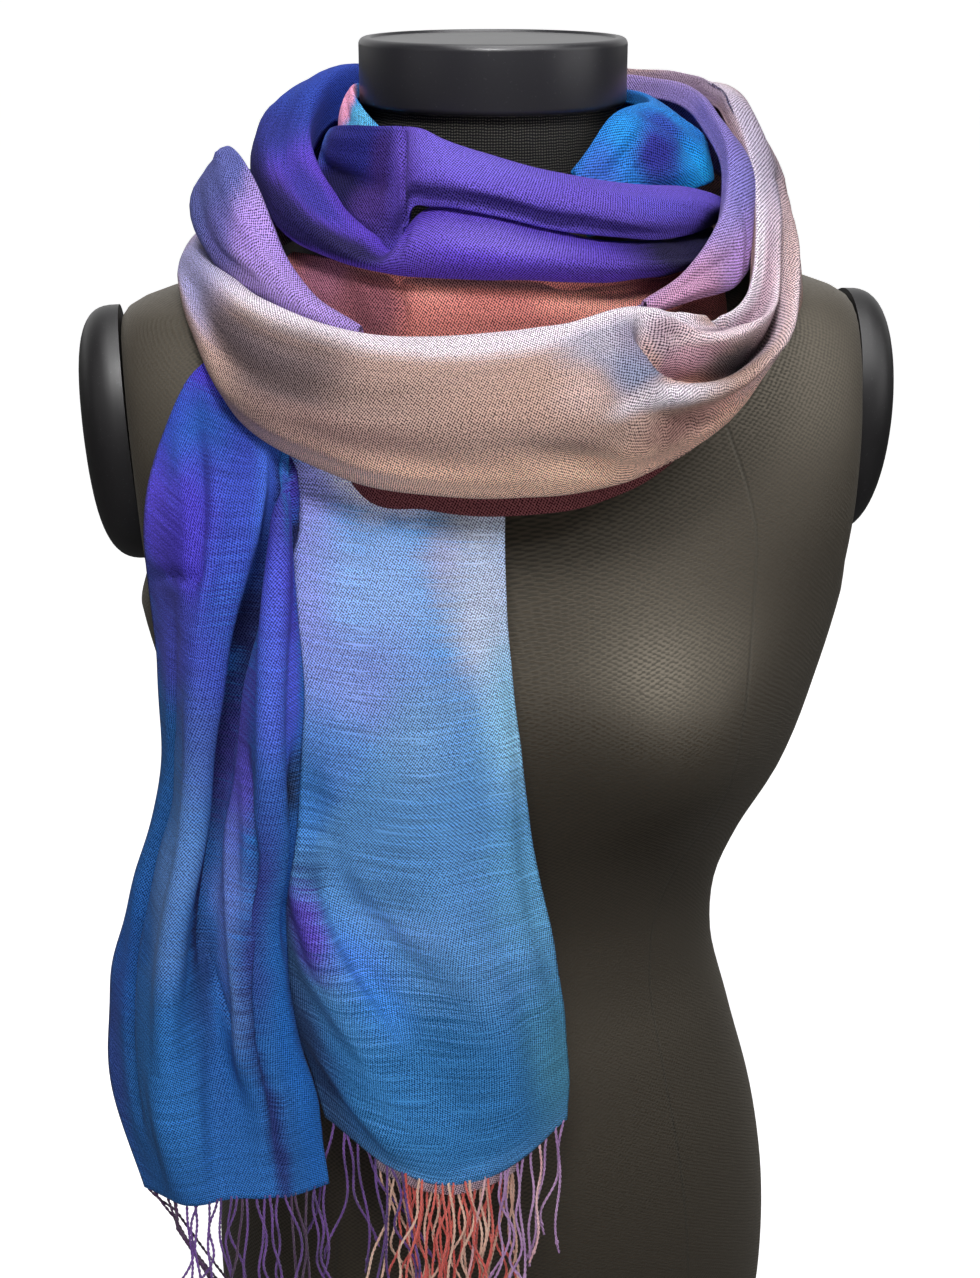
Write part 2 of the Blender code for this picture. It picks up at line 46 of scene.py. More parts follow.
# Camera. It stands in front of the form, a little to its right hand, 0.93 m away and 5 cm above the neck
# cap, and looks down at the chest.
CAMERA_TURN, CAMERA_PITCH = math.radians(-7), math.radians(20.5)
CAMERA_AWAY, CAMERA_ASIDE, CAMERA_HEIGHT = 0.93, -0.0014, 0.774
CAMERA_LENS, SENSOR_WIDTH, FARTHEST = 54.93, 36, 200
turn_sin, turn_cos = math.sin(CAMERA_TURN), math.cos(CAMERA_TURN)
pitch_sin, pitch_cos = math.sin(CAMERA_PITCH), math.cos(CAMERA_PITCH)
backwards = Vector((turn_sin * pitch_cos, -turn_cos * pitch_cos, pitch_sin))
bpy.ops.object.camera_add(
    location=(turn_sin * CAMERA_AWAY + CAMERA_ASIDE, -turn_cos * CAMERA_AWAY, CAMERA_HEIGHT),
    rotation=backwards.to_track_quat("Z", "Y").to_euler(),
)
camera = bpy.context.object
camera.name = "camera"
camera.data.lens = CAMERA_LENS
camera.data.sensor_width = SENSOR_WIDTH
camera.data.clip_end = FARTHEST
scene.camera = camera

# Studio. A pale floor that runs far back under a white surround, bright behind the form and dim in front
# of it. One lamp stands high in front and one hangs overhead, a broad low one fills the shadows, and
# three soft boxes are there only for their gloss on the form.
# name, place, size, power, aim
LAMPS = [
    ("key_lamp", (-0.16, -0.84, 1.42), 0.24, 9.5, (-0.02, -0.10, 0.52)),
    ("top_lamp", (0.05, 0.10, 1.60), 0.60, 5.0, (0, 0, 0.60)),
    ("fill_lamp", (0.10, -1.35, 0.20), 0.90, 10.0, (0, 0, 0.50)),
    ("soft_box", (0.25, -0.95, 2.20), 2.00, 54.0, (0, 0, 0.45)),
    ("left_strip", (-1.30, -0.55, 1.10), 1.00, 1.5, (0, 0, 0.50)),
    ("right_strip", (1.30, -0.55, 1.10), 1.00, 6.0, (0, 0, 0.50)),
]
GLOSS_ONLY, NO_GLOSS = ("soft_box", "left_strip", "right_strip"), ("fill_lamp",)
FLOOR_SIZE, FLOOR_GLOW = 80.0, 0.82
ROOM_LIGHT, WALL_LIGHT, BACKDROP_LIGHT = 0.04, 0.85, 0.98
WHITE = (1, 1, 1, 1)


def plug(tree, value, socket):
    """Feeds a socket with a value, another node's output or a node's first output."""
    if isinstance(value, bpy.types.Node):
        value = value.outputs[0]
    if isinstance(value, bpy.types.NodeSocket):
        tree.links.new(value, socket)
    else:
        socket.default_value = value


def node(tree, kind, inputs=(), **settings):
    """A shader node with its settings and inputs."""
    made = tree.nodes.new("ShaderNode" + kind)
    for name, value in settings.items():
        setattr(made, name, value)
    for key, value in dict(inputs).items():
        plug(tree, value, made.inputs[key])
    return made


def blend(tree, share, under, over):
    """The colour between two others."""
    return node(tree, "Mix", {0: share, 6: under, 7: over}, data_type="RGBA").outputs[2]


def ramp(tree, value, start, end, low=0.0, high=1.0, smooth=False):
    """A value brought from between start and end to between low and high, and held there beyond them."""
    made = node(tree, "MapRange", {0: value, 1: start, 2: end, 3: low, 4: high},
                interpolation_type="SMOOTHSTEP" if smooth else "LINEAR")
    return made.outputs[0]


def new_material(name):
    """An empty material's node tree, with the material."""
    made = bpy.data.materials.new(name)
    made.use_nodes = True
    made.node_tree.nodes.clear()
    return made, made.node_tree


for name, place, size, power, aim in LAMPS:
    bpy.ops.object.light_add(type="AREA", location=place)
    lamp = bpy.context.object
    lamp.name = name
    lamp.rotation_euler = (Vector(place) - Vector(aim)).to_track_quat("Z", "Y").to_euler()
    lamp.data.size = size
    lamp.data.energy = power
    lamp.visible_camera = False
    lamp.visible_diffuse = name not in GLOSS_ONLY
    lamp.visible_glossy = name not in NO_GLOSS

bpy.ops.object.select_all(action="DESELECT")
bpy.ops.mesh.primitive_plane_add(size=FLOOR_SIZE)
floor = bpy.context.object
floor.name = "studio_floor"
floor_paint, tree = new_material("pale_floor")
place = node(tree, "TexCoord").outputs["Object"]
mottle = node(tree, "TexNoise", {"Vector": place, "Scale": 3.0, "Detail": 4.0})
pale = blend(tree, mottle, (0.80, 0.80, 0.80, 1), (0.84, 0.84, 0.84, 1))
paint = node(tree, "BsdfPrincipled", {"Base Color": pale, "Roughness": 0.9})
glow = node(tree, "Emission", {"Color": WHITE, "Strength": FLOOR_GLOW})
both = node(tree, "AddShader", {0: paint, 1: glow})
dim = node(tree, "BsdfDiffuse", {"Color": (0.14, 0.14, 0.14, 1)})
seen = node(tree, "LightPath").outputs["Is Camera Ray"]
shown = node(tree, "MixShader", {0: seen, 1: dim, 2: both})
node(tree, "OutputMaterial", {"Surface": shown})
floor.data.materials.append(floor_paint)

world = bpy.data.worlds.new("studio")
world.use_nodes = True
tree = world.node_tree
tree.nodes.clear()
facing = node(tree, "SeparateXYZ", {0: node(tree, "TexCoord").outputs["Generated"]})
behind = ramp(tree, facing.outputs[1], 0.05, 0.9, ROOM_LIGHT, WALL_LIGHT, smooth=True)
room = node(tree, "Background", {"Color": WHITE, "Strength": behind})
backdrop = node(tree, "Background", {"Color": WHITE, "Strength": BACKDROP_LIGHT})
seen = node(tree, "LightPath").outputs["Is Camera Ray"]
shown = node(tree, "MixShader", {0: seen, 1: room, 2: backdrop})
node(tree, "OutputWorld", {"Surface": shown})
scene.world = world

# Dress form cover. Black jersey sewn in panels over a hard half-torso: princess seams front and back,
# side seams and one down the middle of the back. The neck has its own open knit.
FORM_TOP = 0.6897
# height, half_width, front, back, squareness
FORM_SECTIONS = [
    (0.000, 0.150, 0.102, 0.108, 2.2),
    (0.060, 0.154, 0.106, 0.114, 2.2),
    (0.110, 0.152, 0.107, 0.113, 2.2),
    (0.160, 0.144, 0.104, 0.104, 2.2),
    (0.215, 0.129, 0.095, 0.088, 2.2),
    (0.265, 0.117, 0.084, 0.075, 2.2),
    (0.300, 0.119, 0.083, 0.075, 2.2),
    (0.330, 0.130, 0.090, 0.080, 2.2),
    (0.370, 0.150, 0.102, 0.086, 2.25),
    (0.420, 0.166, 0.108, 0.093, 2.3),
    (0.465, 0.176, 0.101, 0.097, 2.6),
    (0.510, 0.184, 0.091, 0.097, 2.9),
    (0.551, 0.187, 0.080, 0.094, 2.8),
    (0.580, 0.185, 0.0705, 0.088, 2.4),
    (0.592, 0.180, 0.0665, 0.084, 2.2),
    (0.602, 0.168, 0.0645, 0.080, 2.1),
    (0.611, 0.141, 0.062, 0.075, 2.0),
    (0.621, 0.110, 0.061, 0.071, 2.0),
    (0.632, 0.086, 0.059, 0.066, 2.0),
    (0.647, 0.067, 0.057, 0.061, 2.0),
    (0.668, 0.059, 0.056, 0.057, 2.0),
    (0.6897, 0.057, 0.055, 0.056, 2.0),
]
BUST_HEIGHT, BUST_OFFSET, BUST_RISE, BUST_SPREAD = 0.405, 0.085, 0.030, 0.052
ARMHOLE_HEIGHT, ARMHOLE_OUT, ARMHOLE_LEAN, ARMHOLE_ROUND = 0.537, 0.173, 0.06, 0.004
# Below the armholes the cover comes out past their flat sides again.
ARMHOLE_END, ARMHOLE_EASE, ARMHOLE_GIVE = 0.475, 0.035, 0.03
COVER_SIDES, COVER_ROWS = 144, 110
# The rows lie closer together towards the shoulders.
ROW_SHARES, ROW_HEIGHTS = (0, 0.55, 0.66, 1), (0, 0.50, 0.565, FORM_TOP)
MEAN_RADIUS, NECK_KNIT_FROM = 0.15, 0.640
# The seams' places are degrees from the middle of the front, and the front princess seam has height, degrees.
SIDE_SEAM, BACK_SEAM = 90, 144
PRINCESS_SEAM = [(0.0, 36), (0.25, 36), (0.38, 37), (0.45, 34), (0.50, 30), (0.56, 24), (0.62, 30)]
SEAM_WIDTH, SEAM_DARK = 0.010, (0.003, 0.003, 0.0025, 1)
KNIT_LEAN, DASH_PITCH, COURSE_PITCH = math.radians(-7), 0.0036, 0.0023
KNIT_GAP, KNIT_THREAD = (0.0006, 0.0004, 0.0003, 1), (0.019, 0.0122, 0.0060, 1)
MESH_PITCH, MESH_GAP, MESH_THREAD = 0.00125, (0.004, 0.004, 0.004, 1), (0.105, 0.098, 0.085, 1)


def bend(start, end, leaving, arriving, t):
    """The smooth curve from start to end that leaves and arrives at these slopes, at t from 0 to 1."""
    return (start * (2 * t**3 - 3 * t**2 + 1) + leaving * (t**3 - 2 * t**2 + t)
            + end * (3 * t**2 - 2 * t**3) + arriving * (t**3 - t**2))


def between(rows, places, turn=None):
    """The table's values at each place, on smooth curves through its rows. turn closes it into a ring."""
    table = np.array(rows, float)
    if turn:
        before, after = table[-2:].copy(), table[:2].copy()
        before[:, 0] -= turn
        after[:, 0] += turn
        table = np.vstack([before, table, after])
    x, y = table[:, 0], table[:, 1:]
    span = np.diff(x)[:, None]
    rise = np.diff(y, axis=0) / span
    inner = (rise[:-1] * span[1:] + rise[1:] * span[:-1]) / (span[:-1] + span[1:])
    slope = np.vstack([rise[:1], inner, rise[-1:]])
    place = np.clip(np.asarray(places, float), x[0], x[-1])
    k = np.clip(np.searchsorted(x, place, side="right") - 1, 0, len(x) - 2)
    length = (x[k + 1] - x[k])[..., None]
    t = ((place - x[k]) / (x[k + 1] - x[k]))[..., None]
    return bend(y[k], y[k + 1], slope[k] * length, slope[k + 1] * length, t)


def give_uv(mesh, name, values):
    """A UV map from one pair of numbers for each corner."""
    layer = mesh.uv_layers.new(name=name)
    layer.uv.foreach_set("vector", np.ascontiguousarray(values, np.float32).ravel())


def corner_vertices(mesh):
    found = np.empty(len(mesh.loops), np.int32)
    mesh.loops.foreach_get("vertex_index", found)
    return found


def read_points(mesh):
    found = np.empty(len(mesh.vertices) * 3, np.float32)
    mesh.vertices.foreach_get("co", found)
    return found.reshape(-1, 3).astype(float)


def write_points(mesh, points):
    mesh.vertices.foreach_set("co", np.ascontiguousarray(points, np.float32).ravel())
    mesh.update()


def maths(tree, operation, *values):
    return node(tree, "Math", dict(enumerate(values)), operation=operation).outputs[0]


def vector_maths(tree, operation, *values, **named):
    made = node(tree, "VectorMath", {**dict(enumerate(values)), **named}, operation=operation)
    return made.outputs["Value" if operation == "LENGTH" else "Vector"]


def surface(tree, sockets):
    """The material's shader with its sockets, joined to the output."""
    shader = node(tree, "BsdfPrincipled", sockets)
    node(tree, "OutputMaterial", {"Surface": shader})


bpy.ops.object.select_all(action="DESELECT")
bpy.ops.mesh.primitive_cylinder_add(vertices=COVER_SIDES, radius=0.1, depth=1.0)
cover = bpy.context.object
cover.name = "form_cover"
bpy.ops.object.mode_set(mode="EDIT")
bpy.ops.mesh.select_all(action="DESELECT")
bpy.ops.mesh.select_mode(type="EDGE")
edit = bmesh.from_edit_mesh(cover.data)
for edge in edit.edges:
    edge.select_set(abs(edge.verts[0].co.z - edge.verts[1].co.z) > 0.5)
bmesh.update_edit_mesh(cover.data)
bpy.ops.mesh.subdivide(number_cuts=COVER_ROWS)
bpy.ops.object.mode_set(mode="OBJECT")

flat_points = read_points(cover.data)
turn = np.arctan2(flat_points[:, 1], flat_points[:, 0])
height = np.interp(flat_points[:, 2] + 0.5, ROW_SHARES, ROW_HEIGHTS)
half_width, front, back, squareness = between(FORM_SECTIONS, height).T
x = half_width * np.sign(np.cos(turn)) * np.abs(np.cos(turn)) ** (2 / squareness)
y = np.where(np.sin(turn) > 0, back, front) * np.sign(np.sin(turn)) * np.abs(np.sin(turn)) ** (2 / squareness)
for side in (-1, 1):
    away = np.hypot(x - side * BUST_OFFSET, height - BUST_HEIGHT)
    y -= BUST_RISE * np.exp(-((away / BUST_SPREAD) ** 2)) * np.clip(-y / front, 0, 1)
ease = np.clip((ARMHOLE_END - height) / ARMHOLE_EASE, 0, 1)
limit = ARMHOLE_OUT + ARMHOLE_LEAN * (height - ARMHOLE_HEIGHT) + ARMHOLE_GIVE * ease**2 * (3 - 2 * ease)
reach = np.abs(x)
x = np.sign(x) * 0.5 * (reach + limit - np.sqrt((reach - limit) ** 2 + ARMHOLE_ROUND**2))
write_points(cover.data, np.stack([x, y, height], axis=1))

corners = corner_vertices(cover.data)
around = np.degrees(turn) + 90
around = np.where(around > 180, around - 360, around)[corners]
rise = height[corners]
for face in cover.data.polygons:
    loops = list(face.loop_indices)
    if len(loops) == 4 and np.ptp(around[loops]) > 180:
        around[loops] = np.where(around[loops] < 0, around[loops] + 360, around[loops])
give_uv(cover.data, "cover", np.stack([np.radians(around) * MEAN_RADIUS, rise], axis=1))
princess = between(PRINCESS_SEAM, rise)[:, 0]
turned = np.abs(around)
panel = np.where(turned < princess, 0.5 * turned / princess,
                 0.5 + (turned - princess) / (SIDE_SEAM - princess))
panel = np.where(turned > SIDE_SEAM, 1.5 + (turned - SIDE_SEAM) / (BACK_SEAM - SIDE_SEAM), panel)
panel = np.where(turned > BACK_SEAM, 2.5 + (turned - BACK_SEAM) / (180 - BACK_SEAM), panel)
give_uv(cover.data, "panels", np.stack([panel, rise], axis=1))

jersey, tree = new_material("jersey_cover")
spot = node(tree, "UVMap", uv_map="cover")
drift = node(tree, "TexNoise", {"Vector": spot, "Scale": 60.0, "Detail": 1.0})
slack = vector_maths(tree, "MULTIPLY_ADD", drift.outputs["Color"], (0.002, 0.0016, 0), spot)
lean = node(tree, "Mapping", {0: slack, "Rotation": (0, 0, KNIT_LEAN)})
rates = (2 * math.pi / DASH_PITCH, 2 * math.pi / COURSE_PITCH, 0)
turns = vector_maths(tree, "MULTIPLY", lean, rates)
parts = node(tree, "SeparateXYZ", {0: turns})
dash = maths(tree, "SINE", parts.outputs[0])
course = maths(tree, "SINE", parts.outputs[1])
lattice = maths(tree, "MULTIPLY", dash, course)
fine = vector_maths(tree, "MULTIPLY", spot, (420, 1150, 1))
loops = node(tree, "TexNoise", {"Vector": fine, "Scale": 1.0, "Detail": 1.5})
mixed = maths(tree, "MULTIPLY_ADD", lattice, 0.34, loops)
knit = ramp(tree, mixed, 0.30, 0.72)
seam_line = node(tree, "SeparateXYZ", {0: node(tree, "UVMap", uv_map="panels")})
share = maths(tree, "FRACT", seam_line.outputs[0])
off_seam = maths(tree, "SUBTRACT", share, 0.5)
off_seam = maths(tree, "ABSOLUTE", off_seam)
groove = ramp(tree, off_seam, 0.0, SEAM_WIDTH, smooth=True)
colour = blend(tree, knit, KNIT_GAP, KNIT_THREAD)
sunk = blend(tree, groove, SEAM_DARK, colour)
relief = maths(tree, "MULTIPLY", knit, 0.4)
relief = maths(tree, "MULTIPLY_ADD", groove, 3.0, relief)
raised = node(tree, "Bump", {"Strength": 0.14, "Distance": 0.0006, "Height": relief})
gloss = ramp(tree, knit, 0.0, 1.0, 0.78, 0.44)
surface(tree, {
    "Base Color": sunk, "Roughness": gloss, "Normal": raised,
    "IOR": 1.8, "Specular IOR Level": 0.68, "Specular Tint": (1.0, 0.90, 0.74, 1),
    "Sheen Weight": 0.04, "Sheen Roughness": 0.5, "Sheen Tint": (0.90, 0.84, 0.74, 1),
})
cover.data.materials.append(jersey)

neck_knit, tree = new_material("neck_knit")
spot = node(tree, "UVMap", uv_map="cover")
wobble = node(tree, "TexNoise", {"Vector": spot, "Scale": 150.0, "Detail": 1.0})
bent = vector_maths(tree, "MULTIPLY_ADD", wobble.outputs["Color"], (0.0012, 0.0012, 0), spot)
rates = (0.38 * 2 * math.pi / MESH_PITCH, 2 * math.pi / MESH_PITCH, 0)
turns = vector_maths(tree, "MULTIPLY", bent, rates)
parts = node(tree, "SeparateXYZ", {0: turns})
wale = maths(tree, "SINE", parts.outputs[0])
course = maths(tree, "SINE", parts.outputs[1])
mesh_lines = maths(tree, "MULTIPLY_ADD", wale, 0.7, course)
mesh_lines = ramp(tree, mesh_lines, 0.1, 1.5)
colour = blend(tree, mesh_lines, MESH_GAP, MESH_THREAD)
raised = node(tree, "Bump", {"Strength": 0.5, "Distance": 0.0006, "Height": mesh_lines})
surface(tree, {"Base Color": colour, "Roughness": 0.8, "Specular IOR Level": 0.2, "Normal": raised})
cover.data.materials.append(neck_knit)
for face in cover.data.polygons:
    if face.center.z > NECK_KNIT_FROM:
        face.material_index = 1
bpy.ops.object.shade_smooth_by_angle(angle=math.radians(50))
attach(cover, "root")
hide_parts("form_torso")

# Neck cap. One turned black plastic disc with rounded rims and a top let in by a millimetre,
# pushed on to the form's neck.
CAP_RADIUS, CAP_BOTTOM, CAP_TOP, CAP_EDGE, CAP_SIDES = 0.0615, 0.690, 0.720, 0.0030, 160
CAP_RIM, CAP_STEP, CAP_SUNK = 0.0050, 0.0008, 0.0010

bpy.ops.object.select_all(action="DESELECT")
bpy.ops.mesh.primitive_cylinder_add(
    vertices=CAP_SIDES, radius=CAP_RADIUS, depth=CAP_TOP - CAP_BOTTOM,
    location=(0, 0, (CAP_TOP + CAP_BOTTOM) / 2),
)
cap = bpy.context.object
cap.name = "neck_cap"
bpy.ops.object.transform_apply(location=True)
bpy.ops.object.mode_set(mode="EDIT")
bpy.ops.mesh.select_mode(type="FACE")
bpy.ops.mesh.select_all(action="DESELECT")
edit = bmesh.from_edit_mesh(cap.data)
edit.faces.ensure_lookup_table()
for face in edit.faces:
    face.select_set(face.calc_center_median().z > CAP_TOP - 1e-4)
bmesh.update_edit_mesh(cap.data)
bpy.ops.mesh.inset(thickness=CAP_RIM)
bpy.ops.mesh.inset(thickness=CAP_STEP)
bpy.ops.transform.translate(value=(0, 0, -CAP_SUNK))
bpy.ops.object.mode_set(mode="OBJECT")
rims = cap.modifiers.new("Rims", "BEVEL")
rims.width = CAP_EDGE
rims.segments = 6
rims.limit_method = "ANGLE"
rims.angle_limit = math.radians(60)
bpy.ops.object.modifier_apply(modifier="Rims")
bpy.ops.object.shade_smooth_by_angle(angle=math.radians(35))


def new_group(name, inputs, outputs):
    """A node group with named sockets, given as name and type: the group, what comes in and what goes out."""
    made = bpy.data.node_groups.new(name, "ShaderNodeTree")
    for way, sockets in (("INPUT", inputs), ("OUTPUT", outputs)):
        for key, kind in sockets.items():
            made.interface.new_socket(key, in_out=way, socket_type="NodeSocket" + kind)
    return made, made.nodes.new("NodeGroupInput").outputs, made.nodes.new("NodeGroupOutput").inputs


# The wear that all of the form's plastic has: gloss in soft clouds, and fine pale specks of dust.
DUST = (0.07, 0.07, 0.075, 1)
wear_group, given, result = new_group(
    "plastic wear", {"Place": "Vector"}, {"Cloud": "Float", "Specks": "Float"})
cloud = node(wear_group, "TexNoise", {"Vector": given["Place"], "Scale": 40.0, "Detail": 3.0})
dust = node(wear_group, "TexNoise", {"Vector": given["Place"], "Scale": 900.0, "Detail": 2.0})
specks = ramp(wear_group, dust, 0.66, 0.75, 0.0, 0.5)
for key, output in (("Cloud", cloud), ("Specks", specks)):
    plug(wear_group, output, result[key])


def plastic(name, colour, roughness, scuff):
    """Black moulded plastic. scuff is how much rougher its dullest places are."""
    made, tree = new_material(name)
    wear = node(tree, "Group", {"Place": node(tree, "TexCoord").outputs["Object"]}, node_tree=wear_group)
    cloud = wear.outputs["Cloud"]
    gloss = ramp(tree, cloud, 0.2, 0.8, roughness, roughness + scuff)
    skin = blend(tree, wear.outputs["Specks"], colour, DUST)
    wavy = node(tree, "Bump", {"Strength": 0.08, "Distance": 0.0004, "Height": cloud})
    surface(tree, {"Base Color": skin, "Roughness": gloss, "Normal": wavy})
    return made


cap.data.materials.append(plastic("cap_plastic", (0.018, 0.017, 0.021, 1), 0.34, 0.02))
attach(cap, "root")
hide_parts("form_neck_cap")

# Arm plates. Two domed ovals of the same plastic close the armholes, each moulded in one piece.
PLATE_HALF_HEIGHT, PLATE_HALF_DEPTH, PLATE_BACK, PLATE_DOME = 0.062, 0.046, 0.010, 0.023
PLATE_GAP, PLATE_FULLNESS, PLATE_FLATNESS = 0.0003, 0.6, 0.65
plate_plastic = plastic("plate_plastic", (0.012, 0.011, 0.012, 1), 0.38, 0.10)
for name, side in (("left", -1), ("right", 1)):
    bpy.ops.object.select_all(action="DESELECT")
    bpy.ops.mesh.primitive_uv_sphere_add(
        segments=72, ring_count=36, radius=1.0, rotation=(0, math.radians(90 * side), 0)
    )
    plate = bpy.context.object
    plate.name = "arm_plate_" + name
    bpy.ops.object.transform_apply(rotation=True)
    bpy.ops.object.mode_set(mode="EDIT")
    bpy.ops.mesh.select_all(action="SELECT")
    bpy.ops.mesh.bisect(
        plane_co=(0, 0, 0), plane_no=(side, 0, 0), use_fill=True, clear_inner=True, threshold=0.0001
    )
    bpy.ops.object.mode_set(mode="OBJECT")
    ball = read_points(plate.data)
    lift = np.clip(side * ball[:, 0], 0, 1)
    reach = np.hypot(ball[:, 1], ball[:, 2])
    share = np.clip(reach, 0, 1) ** PLATE_FULLNESS
    grow = np.where(reach > 1e-6, share / np.maximum(reach, 1e-6), 0)
    tall = ARMHOLE_HEIGHT + PLATE_HALF_HEIGHT * ball[:, 2] * grow
    flat_side = ARMHOLE_OUT + ARMHOLE_LEAN * (tall - ARMHOLE_HEIGHT)
    out = flat_side + PLATE_GAP + PLATE_DOME * lift**PLATE_FLATNESS
    deep = PLATE_BACK + PLATE_HALF_DEPTH * ball[:, 1] * grow
    write_points(plate.data, np.stack([side * out, deep, tall], axis=1))
    bpy.ops.object.shade_smooth_by_angle(angle=math.radians(50))
    plate.data.materials.append(plate_plastic)
    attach(plate, "root")
    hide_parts("form_arm_plate_" + name)

# Outer wrap. The scarf's middle, dyed beige and pale lilac, goes once right round over all the rest.
# It sags into a deep swirl of folds by the right collarbone, and its edges are turned under.
# azimuth, crest_r, crest_z, belly_r, belly_z, foot_r, foot_z
OUTER_WRAP = [
    (-180, 0.095, 0.697, 0.114, 0.660, 0.104, 0.600),
    (-150, 0.100, 0.688, 0.120, 0.654, 0.112, 0.601),
    (-125, 0.115, 0.668, 0.132, 0.640, 0.124, 0.604),
    (-108, 0.128, 0.643, 0.143, 0.629, 0.137, 0.614),
    (-90, 0.137, 0.628, 0.1475, 0.621, 0.146, 0.6135),
    (-79, 0.136, 0.626, 0.150, 0.616, 0.1485, 0.6077),
    (-70, 0.135, 0.622, 0.153, 0.607, 0.1485, 0.5917),
    (-57, 0.134, 0.615, 0.156, 0.591, 0.148, 0.567),
    (-35, 0.130, 0.607, 0.157, 0.580, 0.140, 0.547),
    (-10, 0.128, 0.608, 0.157, 0.578, 0.138, 0.5425),
    (8, 0.128, 0.612, 0.156, 0.579, 0.138, 0.5435),
    (20, 0.129, 0.617, 0.156, 0.584, 0.141, 0.548),
    (38, 0.134, 0.609, 0.158, 0.592, 0.146, 0.566),
    (50, 0.136, 0.618, 0.1545, 0.606, 0.150, 0.590),
    (62, 0.1275, 0.655, 0.145, 0.634, 0.1485, 0.605),
    (69, 0.1205, 0.673, 0.140, 0.648, 0.147, 0.608),
    (78, 0.1105, 0.692, 0.133, 0.662, 0.1435, 0.614),
    (92, 0.1065, 0.698, 0.127, 0.672, 0.137, 0.6175),
    (106, 0.105, 0.700, 0.124, 0.671, 0.1315, 0.6155),
    (120, 0.103, 0.700, 0.121, 0.669, 0.126, 0.610),
    (150, 0.099, 0.700, 0.117, 0.666, 0.111, 0.601),
]
# path of (azimuth, across), half_width, height out of the cloth, 1 for a crisp crease or 0 for a soft one,
# how far it sags down over the cloth below it
OUTER_FOLDS = [
    ([(22, 0.31), (20.5, 0.35), (22.5, 0.41), (28, 0.44), (36, 0.445), (44, 0.43),
      (52, 0.42), (60, 0.42), (70, 0.44)],
     0.0080, -0.0190, 0),
    ([(25, 0.28), (26, 0.32), (29, 0.355), (35, 0.37), (42, 0.365), (49, 0.35),
      (57, 0.35), (66, 0.37)], 0.0068, 0.0085, 0, 0.0045),
    ([(38, 0.25), (40.5, 0.305), (46, 0.32), (52, 0.315), (58, 0.305)], 0.0055, -0.0110, 0),
    ([(29, 0.25), (33, 0.265), (38, 0.24)], 0.0040, 0.0030, 0),
    ([(19, 0.34), (18, 0.43), (21, 0.49), (28, 0.515), (37, 0.51), (46, 0.495),
      (56, 0.49), (66, 0.50)], 0.0065, 0.0035, 0),
    ([(13, 0.30), (13, 0.42), (16, 0.52), (24, 0.58), (34, 0.60), (44, 0.58)], 0.0100, -0.0045, 0),
    ([(2, 0.28), (6, 0.42), (8, 0.54), (16, 0.64), (32, 0.68)], 0.0130, 0.0030, 0),
    ([(-6, 0.55), (10, 0.64), (24, 0.72), (38, 0.74)], 0.0120, -0.0025, 0),
    ([(-80, 0.44), (-66, 0.455), (-52, 0.465), (-38, 0.465), (-16, 0.44)], 0.0130, -0.0055, 0),
    ([(-92, 0.36), (-76, 0.32), (-58, 0.30), (-40, 0.30), (-22, 0.31)], 0.0100, 0.0035, 0),
    ([(-60, 0.60), (-40, 0.62), (-20, 0.66), (0, 0.68)], 0.0100, 0.0022, 0),
    ([(-2, 0.60), (-3, 0.68), (-2, 0.76)], 0.0040, -0.0014, 0),
    ([(64, 0.60), (76, 0.54), (90, 0.50), (106, 0.50)], 0.0110, -0.0050, 0),
    ([(66, 0.36), (80, 0.34), (98, 0.34), (118, 0.38)], 0.0090, 0.0035, 0),
    ([(70, 0.24), (84, 0.22), (100, 0.24)], 0.0060, -0.0020, 0),
    ([(120, 0.55), (145, 0.48), (170, 0.50), (178, 0.54)], 0.0130, -0.0050, 0),
    ([(112, 0.66), (140, 0.62), (165, 0.66)], 0.0100, 0.0034, 0),
    ([(-172, 0.42), (-150, 0.50), (-125, 0.52), (-104, 0.46)], 0.0130, -0.0050, 0),
    ([(-165, 0.62), (-140, 0.66), (-118, 0.64)], 0.0100, 0.0030, 0),
]
CLOTH_WALL, FOOT_TUCK, TUCK_LEAN = 0.0010, 0.006, 0.45
FOLD_STEPS, FOLD_FADE, EVENED_ROWS, RIPPLE_SIZE, SEAM_MERGE = 170, 0.45, 25, 0.055, 0.00005


def smooth_through(values, share):
    """The smooth curve through evenly spaced values, at each share of the way from the first to the last."""
    values = np.stack(np.broadcast_arrays(*values))
    last = len(values) - 1
    rise = np.diff(values, axis=0)
    slope = np.concatenate([rise[:1], (rise[1:] + rise[:-1]) / 2, rise[-1:]])
    place = np.clip(share, 0, 1) * last
    total = 0
    for k in range(last):
        t = place - k
        here = (t >= 0) & ((t < 1) | (k == last - 1))
        total = total + np.where(here, bend(values[k], values[k + 1], slope[k], slope[k + 1], t), 0)
    return total


def wound(rows, turn=None, tuck=0.009):
    """A wound stretch's outer face, as points for azimuths and shares of the way from crest to foot. tuck is
    how far the cloth turns down inside the crest, and may be rows of azimuth, depth and how far in."""

    def face(azimuths, shares):
        crest_r, crest_z, belly_r, belly_z, foot_r, foot_z = between(rows, azimuths, turn).T
        deep, inward = between(tuck, azimuths).T if isinstance(tuck, list) else (tuck, TUCK_LEAN * tuck)
        radius = smooth_through((crest_r - inward, crest_r, belly_r, foot_r, foot_r - FOOT_TUCK), shares)
        tall = smooth_through((crest_z - deep, crest_z, belly_z, foot_z, foot_z + 0.5 * FOOT_TUCK), shares)
        angle = np.radians(azimuths)
        return np.stack([radius * np.sin(angle), -radius * np.cos(angle), tall], axis=-1)

    return face


def unit(vectors):
    return vectors / np.maximum(np.linalg.norm(vectors, axis=-1, keepdims=True), 1e-12)


